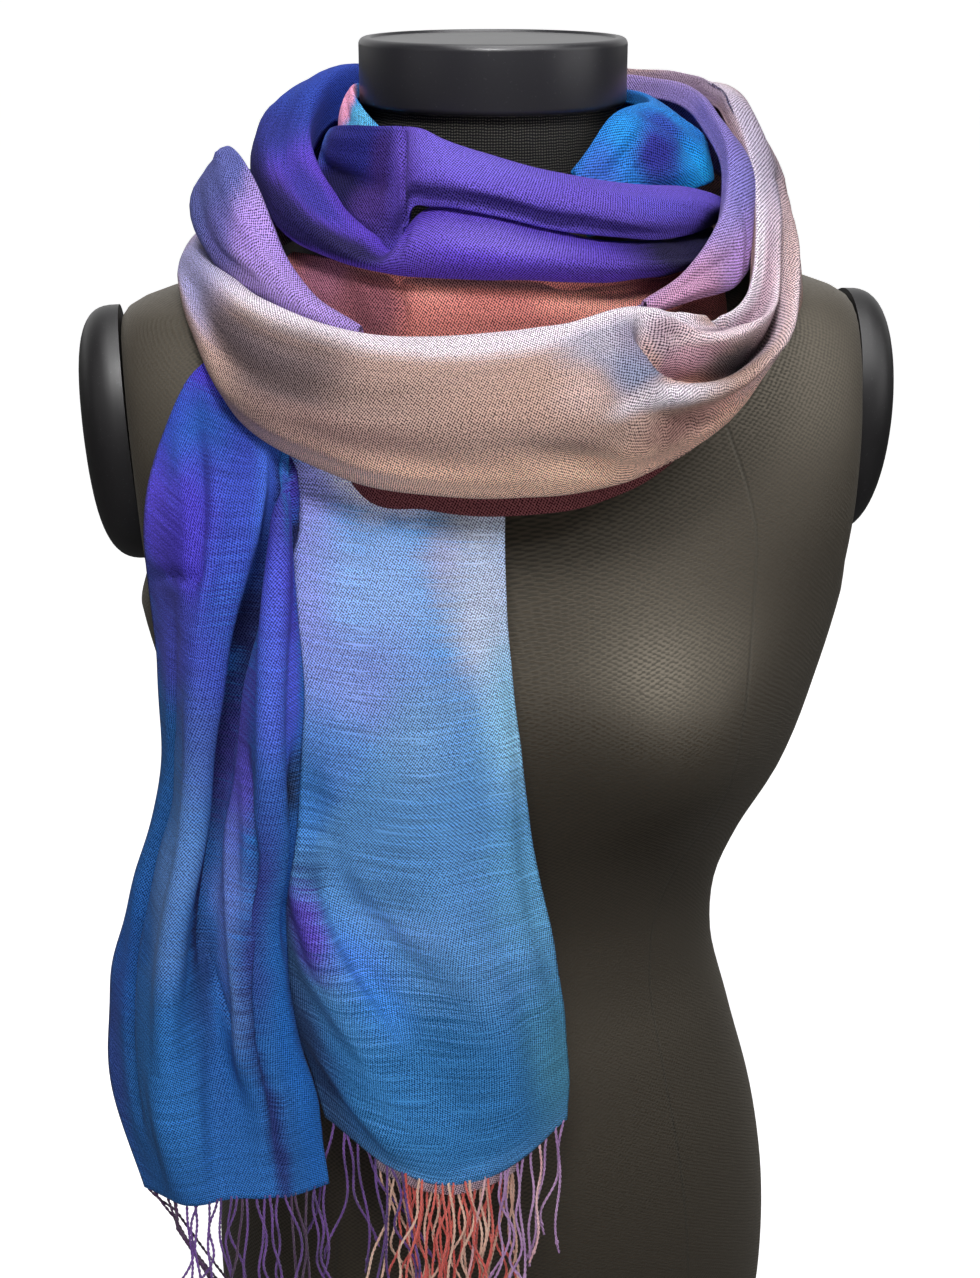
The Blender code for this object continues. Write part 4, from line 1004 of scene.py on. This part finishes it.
inner_wrap = lay_cloth("inner_wrap", wound(INNER_WRAP, tuck=0.006), (25, 305), 34, 280, INNER_FOLDS,
                       wander=0.0004, seed=13)
inner_wrap.data.materials.append(dyed_cloth("turquoise_cashmere", (8, 118, 198), [
    ((28, 34, 134), (53, 0.54), (8, 0.12), 0.6, 1.0),
    ((30, 54, 152), (61, 0.42), (5, 0.10), 0.7, 0.9),
    ((8, 136, 212), (46, 0.38), (6, 0.10), 0.7, 0.8),
    # bright turquoise, partly dye and partly painted light that lifts the shade there
    ((20, 176, 250), (70, 0.72), (9, 0.16), 0.6, 0.95),
    ((54, 98, 196), (31, 0.48), (8, 0.2), 0.7, 0.8),
    ((60, 80, 180), (150, 0.45), (50, 0.4), 0.7, 0.7),
    ((90, 182, 224), (292, 0.42), (11, 0.24), 0.4, 0.95),
    ((255, 172, 206), (266, 0.36), (14, 0.30), 0.3, 1.0),
], fleck_light=0.03))
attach(inner_wrap, "root")
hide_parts("scarf_inner_wrap")

# Left end. The blue and purple end of the scarf, gathered into two long pleats where it comes out from
# under the outer wrap, hanging free over the left of the chest.
# down, left_x, crease_x, right_x, left_y, lobe_y, crease_y, second_y, right_y, left_z, middle_z, right_z
LEFT_END = [
    (0.00, -0.134, -0.107, -0.099, -0.060, -0.070, -0.085, -0.090, -0.092, 0.588, 0.577, 0.566),
    (0.06, -0.146, -0.108, -0.101, -0.0595, -0.072, -0.085, -0.091, -0.093, 0.576, 0.562, 0.552),
    (0.12, -0.157, -0.110, -0.102, -0.068, -0.102, -0.100, -0.108, -0.107, 0.556, 0.543, 0.538),
    (0.23, -0.1665, -0.117, -0.101, -0.082, -0.134, -0.112, -0.131, -0.122, 0.514, 0.506, 0.504),
    (0.36, -0.164, -0.130, -0.0995, -0.094, -0.140, -0.120, -0.150, -0.132, 0.456, 0.452, 0.450),
    (0.50, -0.166, -0.1365, -0.104, -0.100, -0.144, -0.126, -0.154, -0.136, 0.402, 0.398, 0.396),
    (0.62, -0.180, -0.143, -0.111, -0.100, -0.148, -0.130, -0.155, -0.136, 0.354, 0.350, 0.348),
    (0.76, -0.195, -0.145, -0.109, -0.098, -0.150, -0.134, -0.152, -0.132, 0.296, 0.292, 0.290),
    (0.88, -0.197, -0.140, -0.100, -0.106, -0.148, -0.140, -0.146, -0.128, 0.244, 0.244, 0.243),
    (1.00, -0.184, -0.138, -0.0955, -0.120, -0.142, -0.143, -0.142, -0.128, 0.197, 0.203, 0.197),
]
VALLEY = [(0.66, 0.07), (0.61, 0.12), (0.55, 0.19), (0.52, 0.27), (0.49, 0.36), (0.465, 0.46), (0.45, 0.56),
          (0.44, 0.67)]
# path of (across, down), half_width, height, crisp
LEFT_FOLDS = [
    (VALLEY, 0.0070, -0.0100, 0),
    (VALLEY, 0.0028, -0.0070, 0),
    ([(0.45, 0.65), (0.52, 0.71), (0.58, 0.74), (0.64, 0.77)], 0.0032, -0.0034, 1),
    ([(0.50, 0.08), (0.43, 0.17), (0.38, 0.26), (0.34, 0.36), (0.30, 0.46),
      (0.27, 0.56), (0.26, 0.66), (0.28, 0.78)],
     0.0120, 0.0060, 0),
    ([(0.80, 0.11), (0.73, 0.19), (0.71, 0.29), (0.76, 0.38), (0.82, 0.46),
      (0.90, 0.58), (0.94, 0.74), (0.96, 0.92)],
     0.0110, 0.0055, 0),
    ([(0.53, 0.48), (0.62, 0.60), (0.67, 0.71), (0.62, 0.84)], 0.0090, 0.0045, 0),
    ([(0.62, 0.42), (0.71, 0.55), (0.79, 0.68), (0.77, 0.83), (0.69, 0.99)], 0.0080, -0.0070, 0),
    ([(0.02, 0.27), (0.13, 0.245), (0.22, 0.23), (0.30, 0.20)], 0.0040, -0.0030, 0),
    ([(0.14, 0.30), (0.08, 0.45), (0.06, 0.60), (0.10, 0.76), (0.12, 0.92)], 0.0090, -0.0045, 0),
    ([(0.48, 0.78), (0.43, 0.88), (0.41, 0.99)], 0.0100, -0.0036, 0),
    ([(0.06, 0.07), (0.16, 0.12), (0.22, 0.18), (0.22, 0.27)], 0.0090, -0.0045, 0),
    ([(0.95, 0.40), (0.93, 0.54), (0.95, 0.66)], 0.0060, -0.0035, 0),
    ([(0.20, 0.80), (0.22, 0.90), (0.20, 0.99)], 0.0110, 0.0030, 0),
]


def hanging(rows, back=0.0, span=(0.0, 1.0), extra=0.0, start=0.0):
    """A hanging end's outer face, as points for shares across it and shares of the way down. A layer behind
    lies back from it, takes the span of its width, starts further down and hangs an extra length lower."""

    def face(across, down):
        across = np.asarray(across, float)
        down = np.asarray(down, float)
        v = span[0] + (span[1] - span[0]) * across
        table = between(rows, start + (1 - start) * down)
        left, crease, right, left_y, lobe_y, crease_y, second_y, right_y, left_z, middle_z, right_z = (
            np.moveaxis(table, -1, 0))
        xs = (left, (left + crease) / 2, crease, (crease + right) / 2, right)
        ys = (left_y, lobe_y, crease_y, second_y, right_y)
        x, y = (smooth_through(values, v) for values in (xs, ys))
        z = smooth_through((left_z, middle_z, right_z), v) - extra * down
        x, y, z = np.broadcast_arrays(x, y + back, z)
        return np.stack([x, y, z], axis=-1)

    return face


left_face = hanging(LEFT_END)
left_end = lay_cloth("left_end", left_face, (0, 1), 150, 100, LEFT_FOLDS, even_rows=True, seed=17)
# colour, (across, down), half sizes, softness, strength
left_end.data.materials.append(dyed_cloth("blue_end_cashmere", (30, 98, 166), [
    ((44, 60, 164), (0.24, 0.15), (0.40, 0.14), 0.6, 0.9),
    ((44, 60, 178), (0.00, 0.12), (0.08, 0.05), 0.7, 0.8),
    ((88, 72, 210), (0.06, 0.20), (0.12, 0.06), 0.7, 0.95),
    ((26, 82, 166), (0.15, 0.10), (0.12, 0.035), 0.8, 0.9),
    ((62, 104, 204), (0.45, 0.20), (0.05, 0.13), 0.8, 0.9),
    ((56, 42, 164), (0.18, 0.20), (0.10, 0.07), 0.7, 0.9),
    ((72, 52, 190), (0.10, 0.03), (0.20, 0.03), 0.7, 0.9),
    # painted shade: the pleats' valley, from here down
    ((12, 12, 56), (0.65, 0.085), (0.035, 0.04), 0.6, 0.95),
    # painted shade along the valley
    ((12, 14, 62), (0.555, 0.18), (0.024, 0.07), 0.6, 0.95),
    # painted shade along the valley
    ((14, 22, 76), (0.510, 0.30), (0.020, 0.08), 0.6, 0.95),
    # painted shade along the valley
    ((14, 26, 82), (0.490, 0.43), (0.020, 0.08), 0.6, 0.95),
    ((50, 46, 144), (0.74, 0.17), (0.10, 0.07), 0.7, 0.9),
    ((64, 62, 180), (0.84, 0.25), (0.16, 0.06), 0.6, 0.9),
    # painted shade along the small crease across the top
    ((24, 36, 100), (0.08, 0.265), (0.12, 0.018), 0.7, 0.85),
    ((76, 78, 190), (0.13, 0.32), (0.16, 0.06), 0.7, 0.85),
    ((52, 68, 168), (0.30, 0.32), (0.10, 0.06), 0.7, 0.8),
    ((56, 78, 152), (0.26, 0.41), (0.10, 0.06), 0.7, 0.85),
    ((60, 40, 160), (0.65, 0.24), (0.05, 0.14), 0.7, 0.85),
    ((70, 88, 194), (0.76, 0.33), (0.07, 0.10), 0.7, 0.8),
    ((64, 42, 168), (0.93, 0.20), (0.06, 0.10), 0.7, 0.8),
    ((84, 94, 214), (0.90, 0.34), (0.07, 0.07), 0.7, 0.8),
    ((86, 72, 178), (0.58, 0.44), (0.07, 0.10), 0.7, 0.9),
    ((44, 86, 166), (0.78, 0.46), (0.07, 0.06), 0.7, 0.8),
    # painted shade in the hollow at the right edge
    ((0, 22, 54), (0.95, 0.46), (0.07, 0.045), 0.7, 0.97),
    # painted shade: the valley's lower part
    ((8, 20, 78), (0.400, 0.54), (0.035, 0.17), 0.6, 0.95),
    ((100, 126, 198), (0.58, 0.60), (0.08, 0.10), 0.7, 0.9),
    ((90, 134, 192), (0.21, 0.56), (0.10, 0.13), 0.7, 0.85),
    # painted shade along the hollow in the second lobe
    ((40, 44, 124), (0.76, 0.60), (0.07, 0.11), 0.7, 0.9),
    ((0, 56, 128), (0.94, 0.57), (0.07, 0.06), 0.7, 0.9),
    ((38, 66, 137), (0.83, 0.67), (0.05, 0.05), 0.7, 0.8),
    ((24, 76, 138), (0.44, 0.82), (0.06, 0.07), 0.7, 0.8),
    ((18, 90, 166), (0.06, 0.69), (0.08, 0.10), 0.7, 0.8),
    # painted shade along the short crease
    ((22, 52, 104), (0.45, 0.70), (0.05, 0.07), 0.7, 0.85),
    ((94, 130, 188), (0.66, 0.70), (0.06, 0.06), 0.7, 0.8),
    ((60, 58, 150), (0.02, 0.84), (0.05, 0.12), 0.7, 0.5),
    ((36, 112, 178), (0.28, 0.82), (0.16, 0.12), 0.7, 0.7),
    # painted shade along the lower hollow
    ((24, 36, 100), (0.75, 0.88), (0.05, 0.20), 0.8, 0.9),
    ((18, 102, 180), (0.94, 0.82), (0.07, 0.24), 0.7, 0.85),
], fleck_light=0.03, streaks=0.24, stray=(0.03, 0.02), slubs=0.15, depth=0.34))
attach(left_end, "root")
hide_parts("scarf_left_end")

# Right end. The paler sky-blue end, hanging almost flat beside the left one. Lilac at the top, where the
# outer wrap's shadow falls: painted light lifts that shadow on the left and painted grey shade deepens it on
# the right. Turquoise lower down, with a purple band across and thick slubs in the weft. The table has the
# left end's columns, and its folds theirs.
RIGHT_END = [
    (0.00, -0.094, -0.050, -0.006, -0.074, -0.085, -0.094, -0.099, -0.101, 0.566, 0.573, 0.572),
    (0.10, -0.108, -0.058, -0.0085, -0.0800, -0.088, -0.100, -0.108, -0.1115, 0.540, 0.538, 0.537),
    (0.22, -0.1125, -0.062, -0.0095, -0.106, -0.122, -0.129, -0.131, -0.128, 0.490, 0.486, 0.486),
    (0.36, -0.1115, -0.065, -0.005, -0.118, -0.138, -0.145, -0.146, -0.136, 0.433, 0.428, 0.430),
    (0.50, -0.115, -0.085, 0.002, -0.120, -0.134, -0.138, -0.153, -0.138, 0.378, 0.374, 0.374),
    (0.62, -0.120, -0.078, 0.011, -0.118, -0.141, -0.137, -0.154, -0.136, 0.334, 0.328, 0.330),
    (0.76, -0.113, -0.055, 0.018, -0.116, -0.148, -0.141, -0.152, -0.132, 0.290, 0.276, 0.284),
    (0.88, -0.103, -0.040, 0.021, -0.114, -0.148, -0.149, -0.148, -0.128, 0.254, 0.234, 0.248),
    (1.00, -0.096, -0.037, 0.0215, -0.114, -0.142, -0.149, -0.144, -0.126, 0.225, 0.2055, 0.222),
]
RIGHT_FOLDS = [
    ([(0.08, 0.38), (0.34, 0.48), (0.50, 0.55), (0.60, 0.62), (0.68, 0.70)], 0.0150, -0.0034, 0),
    ([(0.10, 0.47), (0.26, 0.575), (0.38, 0.66), (0.46, 0.76)], 0.0120, 0.0070, 0),
    ([(0.04, 0.56), (0.12, 0.70), (0.24, 0.79), (0.38, 0.86)], 0.0140, -0.0026, 0),
    ([(0.05, 0.80), (0.18, 0.88), (0.32, 0.94)], 0.0110, 0.0030, 0),
    ([(0.86, 0.16), (0.93, 0.36), (0.92, 0.58), (0.94, 0.82)], 0.0100, 0.0030, 0),
    ([(0.10, 0.14), (0.14, 0.28), (0.10, 0.42)], 0.0120, 0.0026, 0),
    ([(0.55, 0.12), (0.62, 0.28), (0.66, 0.46)], 0.0180, 0.0024, 0),
    ([(0.34, 0.12), (0.36, 0.26), (0.34, 0.38)], 0.0120, -0.0020, 0),
    ([(0.74, 0.56), (0.80, 0.72), (0.76, 0.90)], 0.0150, 0.0026, 0),
    ([(0.55, 0.80), (0.58, 0.90), (0.56, 0.99)], 0.0120, -0.0022, 0),
]
right_face = hanging(RIGHT_END)
right_end = lay_cloth("right_end", right_face, (0, 1), 140, 110, RIGHT_FOLDS, even_rows=True,
                      wander=0.0007, seed=19)
right_end.data.materials.append(dyed_cloth("sky_end_cashmere", (74, 136, 190), [
    # painted light lifting the outer wrap's shadow
    ((176, 178, 250), (0.10, 0.12), (0.20, 0.035), 0.6, 0.9),
    # painted light lifting the outer wrap's shadow
    ((244, 240, 255), (0.44, 0.105), (0.20, 0.030), 0.6, 0.95),
    # painted shade: grey where the outer wrap's shadow falls
    ((150, 152, 156), (0.92, 0.12), (0.20, 0.035), 0.6, 0.9),
    ((120, 124, 198), (0.14, 0.20), (0.16, 0.10), 0.7, 0.95),
    ((134, 170, 222), (0.46, 0.20), (0.26, 0.06), 0.8, 0.8),
    ((150, 154, 184), (0.74, 0.165), (0.10, 0.025), 0.7, 0.8),
    ((172, 184, 204), (0.92, 0.22), (0.16, 0.09), 0.7, 0.9),
    ((120, 140, 204), (0.36, 0.29), (0.30, 0.05), 0.8, 0.8),
    ((74, 124, 190), (0.22, 0.38), (0.18, 0.06), 0.7, 0.85),
    ((106, 152, 196), (0.64, 0.34), (0.16, 0.06), 0.7, 0.8),
    ((134, 192, 222), (0.98, 0.34), (0.12, 0.08), 0.7, 0.9),
    ((40, 118, 190), (0.16, 0.44), (0.18, 0.05), 0.7, 0.85),
    ((72, 134, 190), (0.72, 0.48), (0.26, 0.10), 0.8, 0.7),
    ((16, 76, 126), (0.30, 0.515), (0.12, 0.030), 0.8, 0.9),
    ((84, 156, 196), (1.00, 0.56), (0.12, 0.12), 0.7, 0.8),
    ((72, 54, 168), (0.24, 0.590), (0.13, 0.055), 0.6, 1.0),
    ((62, 128, 214), (0.44, 0.66), (0.12, 0.07), 0.7, 0.85),
    ((102, 160, 222), (0.63, 0.575), (0.09, 0.030), 0.8, 0.7),
    ((6, 108, 168), (0.60, 0.84), (0.70, 0.16), 0.5, 0.95),
    ((48, 134, 210), (0.46, 0.705), (0.10, 0.035), 0.7, 0.8),
    # painted shade along the left edge, which lies under the left end
    ((0, 52, 104), (0.05, 0.82), (0.09, 0.24), 0.7, 0.9),
    ((64, 138, 164), (0.98, 0.84), (0.12, 0.14), 0.8, 0.8),
], fleck_light=0.06, streaks=0.26, stray=(0.03, 0.02), slubs=0.8, depth=0.26))
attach(right_end, "root")
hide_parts("scarf_right_end")

# Under end. A second layer of the folded right end, which shows only as a beige hem below it.
UNDER_FOLDS = [
    ([(0.30, 0.30), (0.34, 0.60), (0.30, 0.95)], 0.0100, 0.0012, 0),
    ([(0.70, 0.30), (0.66, 0.60), (0.70, 0.95)], 0.0100, -0.0012, 0),
]
under_face = hanging(RIGHT_END, 0.007, (0.20, 0.78), 0.010, 0.15)
under_end = lay_cloth("under_end", under_face, (0, 1), 90, 60, UNDER_FOLDS, even_rows=True,
                      wander=0.0003, seed=23)
under_end.data.materials.append(dyed_cloth("beige_end_cashmere", (196, 172, 176), [
    ((184, 158, 176), (0.40, 0.97), (0.50, 0.06), 0.6, 0.8),
    ((170, 128, 128), (0.50, 0.40), (0.60, 0.35), 0.7, 0.8),
], streaks=0.15, stray=(0.03, 0.02)))
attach(under_end, "root")
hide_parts("scarf_under_end")

# Fringes. The warp ends of each layer, twisted two by two into soft yarns about 75 mm long, each with a
# small knot near its tip. They hang in uneven waves and cross each other.
PLY_RADIUS, PLY_OFFSET, TWIST, STRAND_STEPS = 0.00042, 0.00034, 0.0056, 72
HEM_MARGIN, HEM_BEHIND, ROOT_RISE, UNEVEN = 0.012, 0.0005, 0.0015, 0.55
SWAY, GATHERED_SWAY, NOD, BUNDLED = 0.0024, 0.0005, 0.0010, 0.92
KNOT_SWELL, KNOT_LENGTH, FRAY_THIN, FRAY_AFTER, FRAY_LENGTH = 1.1, 0.013, 0.35, 0.02, 0.05

# The fine hairs on every yarn, and a slow change of tone along it.
hair_group, given, result = new_group("yarn hairs", {"Place": "Vector"}, {"Tone": "Float", "Hairs": "Float"})
slow = node(hair_group, "TexNoise", {"Vector": given["Place"], "Scale": 60.0, "Detail": 2.0})
hairs = node(hair_group, "TexNoise", {"Vector": given["Place"], "Scale": 2500.0, "Detail": 2.0})
tone = maths(hair_group, "MULTIPLY_ADD", hairs, 0.5, slow)
tone = ramp(hair_group, tone, 0.50, 1.0)
for key, output in (("Tone", tone), ("Hairs", hairs)):
    plug(hair_group, output, result[key])


def yarn_material(name, dark, light):
    made, tree = new_material(name)
    hair = node(tree, "Group", {"Place": node(tree, "TexCoord").outputs["Object"]}, node_tree=hair_group)
    colour = blend(tree, hair.outputs["Tone"], swatch(*dark), swatch(*light))
    fuzz = node(tree, "Bump", {"Strength": 0.5, "Distance": 0.0003, "Height": hair.outputs["Hairs"]})
    surface(tree, {"Base Color": colour, "Roughness": 0.8, "Sheen Weight": 0.4, "Normal": fuzz})
    return made


def swing(waves, s, shift=0.0):
    """The sum of a strand's slow waves at each share of its length, which starts from nothing."""
    return sum(size * (np.sin(2 * math.pi * rate * s + phase + shift) - math.sin(phase + shift))
               for rate, phase, size in waves)


def hem_place(face, share):
    return face(np.array([share]), np.array([1.0]))[0]


def hang_fringe(name, face, strands, length, yarns, colour_of, spread, seed, gathers=()):
    """Twisted yarns from a hem. Each of gathers draws together the strands between two places on the hem:
    from, to, how far sideways and how far forward."""
    draw = random.Random(seed)
    curve = bpy.data.curves.new(name, "CURVE")
    curve.dimensions = "3D"
    curve.bevel_depth = PLY_RADIUS
    curve.bevel_resolution = 1
    curve.use_fill_caps = True
    fringe = bpy.data.objects.new(name, curve)
    scene.collection.objects.link(fringe)
    for made in yarns:
        curve.materials.append(made)
    s = np.linspace(0, 1, STRAND_STEPS)
    for k in range(strands):
        even = HEM_MARGIN + (k + 0.5) / strands * (1 - 2 * HEM_MARGIN)
        across = even + draw.uniform(-UNEVEN, UNEVEN) / strands
        x, y, z = hem_place(face, across)
        long = length * draw.uniform(0.90, 1.04)
        lean, forward = draw.gauss(0, 0.7 * spread), draw.uniform(-0.3 * spread, 0.3 * spread)
        joined, sway = 0, SWAY
        for low, high, sideways, ahead in gathers:
            if low <= across < high:
                lean, forward = sideways + draw.uniform(-0.001, 0.001), ahead
                joined, sway = hem_place(face, (low + high) / 2)[0] - x, GATHERED_SWAY
        waves = [(draw.uniform(0.4, 2.1), draw.uniform(0, 6.3), draw.uniform(0.3, 1.0)) for _ in range(3)]
        bundle = BUNDLED * joined * np.clip(4 * s, 0, 1) ** 1.5
        path = np.stack([
            x + lean * s**1.2 + sway * swing(waves, s) * np.sqrt(s) + bundle,
            y + HEM_BEHIND + forward * s + NOD * swing(waves, s, 1.9) * np.sqrt(s),
            z + ROOT_RISE - (long + ROOT_RISE) * s * (1 - 2 * abs(lean)),
        ], axis=1)
        phase = draw.uniform(0, 6.3)
        knot = draw.uniform(0.90, 0.95)
        thick = (1 + KNOT_SWELL * np.exp(-(((s - knot) / KNOT_LENGTH) ** 2))
                 - FRAY_THIN * np.clip((s - knot - FRAY_AFTER) / FRAY_LENGTH, 0, 1))
        colour = colour_of(across, draw)
        for side in (0, math.pi):
            angle = 2 * math.pi * long * s / TWIST + phase + side
            ply = path + PLY_OFFSET * np.stack([np.cos(angle), np.sin(angle), 0 * s], axis=1)
            spline = curve.splines.new("POLY")
            spline.points.add(STRAND_STEPS - 1)
            places = np.column_stack([ply, np.ones(STRAND_STEPS)]).astype(np.float32)
            spline.points.foreach_set("co", places.ravel())
            spline.points.foreach_set("radius", thick.astype(np.float32))
            spline.material_index = colour
            spline.use_smooth = True
    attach(fringe, "root")
    return fringe


purple_yarn = yarn_material("purple_yarn_twist", (62, 26, 100), (124, 72, 168))
dark_yarn = yarn_material("aubergine_yarn_twist", (42, 14, 50), (88, 42, 96))
pink_yarn = yarn_material("pink_yarn_twist", (208, 144, 156), (244, 200, 204))
beige_yarn = yarn_material("beige_yarn_twist", (216, 166, 144), (246, 210, 188))
lilac_yarn = yarn_material("lilac_yarn_twist", (156, 110, 172), (206, 162, 210))
coral_yarn = yarn_material("coral_yarn_twist", (204, 62, 58), (244, 120, 104))

fringe_left = hang_fringe(
    "left_fringe", left_face, 26, 0.072, [purple_yarn, dark_yarn],
    lambda across, draw: 1 if across < 0.18 or draw.random() < 0.2 else 0,
    0.010, 31, gathers=[(0.0, 0.18, 0.034, -0.004)],
)
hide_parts("fringe_left")
fringe_right = hang_fringe(
    "right_fringe", right_face, 30, 0.074, [purple_yarn, beige_yarn, pink_yarn, lilac_yarn, coral_yarn],
    lambda across, draw: 0 if across < 0.30 else draw.choice((1, 2, 4, 4) if across < 0.66 else (2, 3)),
    0.013, 37,
)
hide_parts("fringe_right")
fringe_under = hang_fringe(
    "under_fringe", under_face, 32, 0.072, [coral_yarn, beige_yarn],
    lambda across, draw: 0 if 0.15 < across < 0.9 and draw.random() < 0.8 else 1,
    0.011, 41,
)
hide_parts("fringe_under")
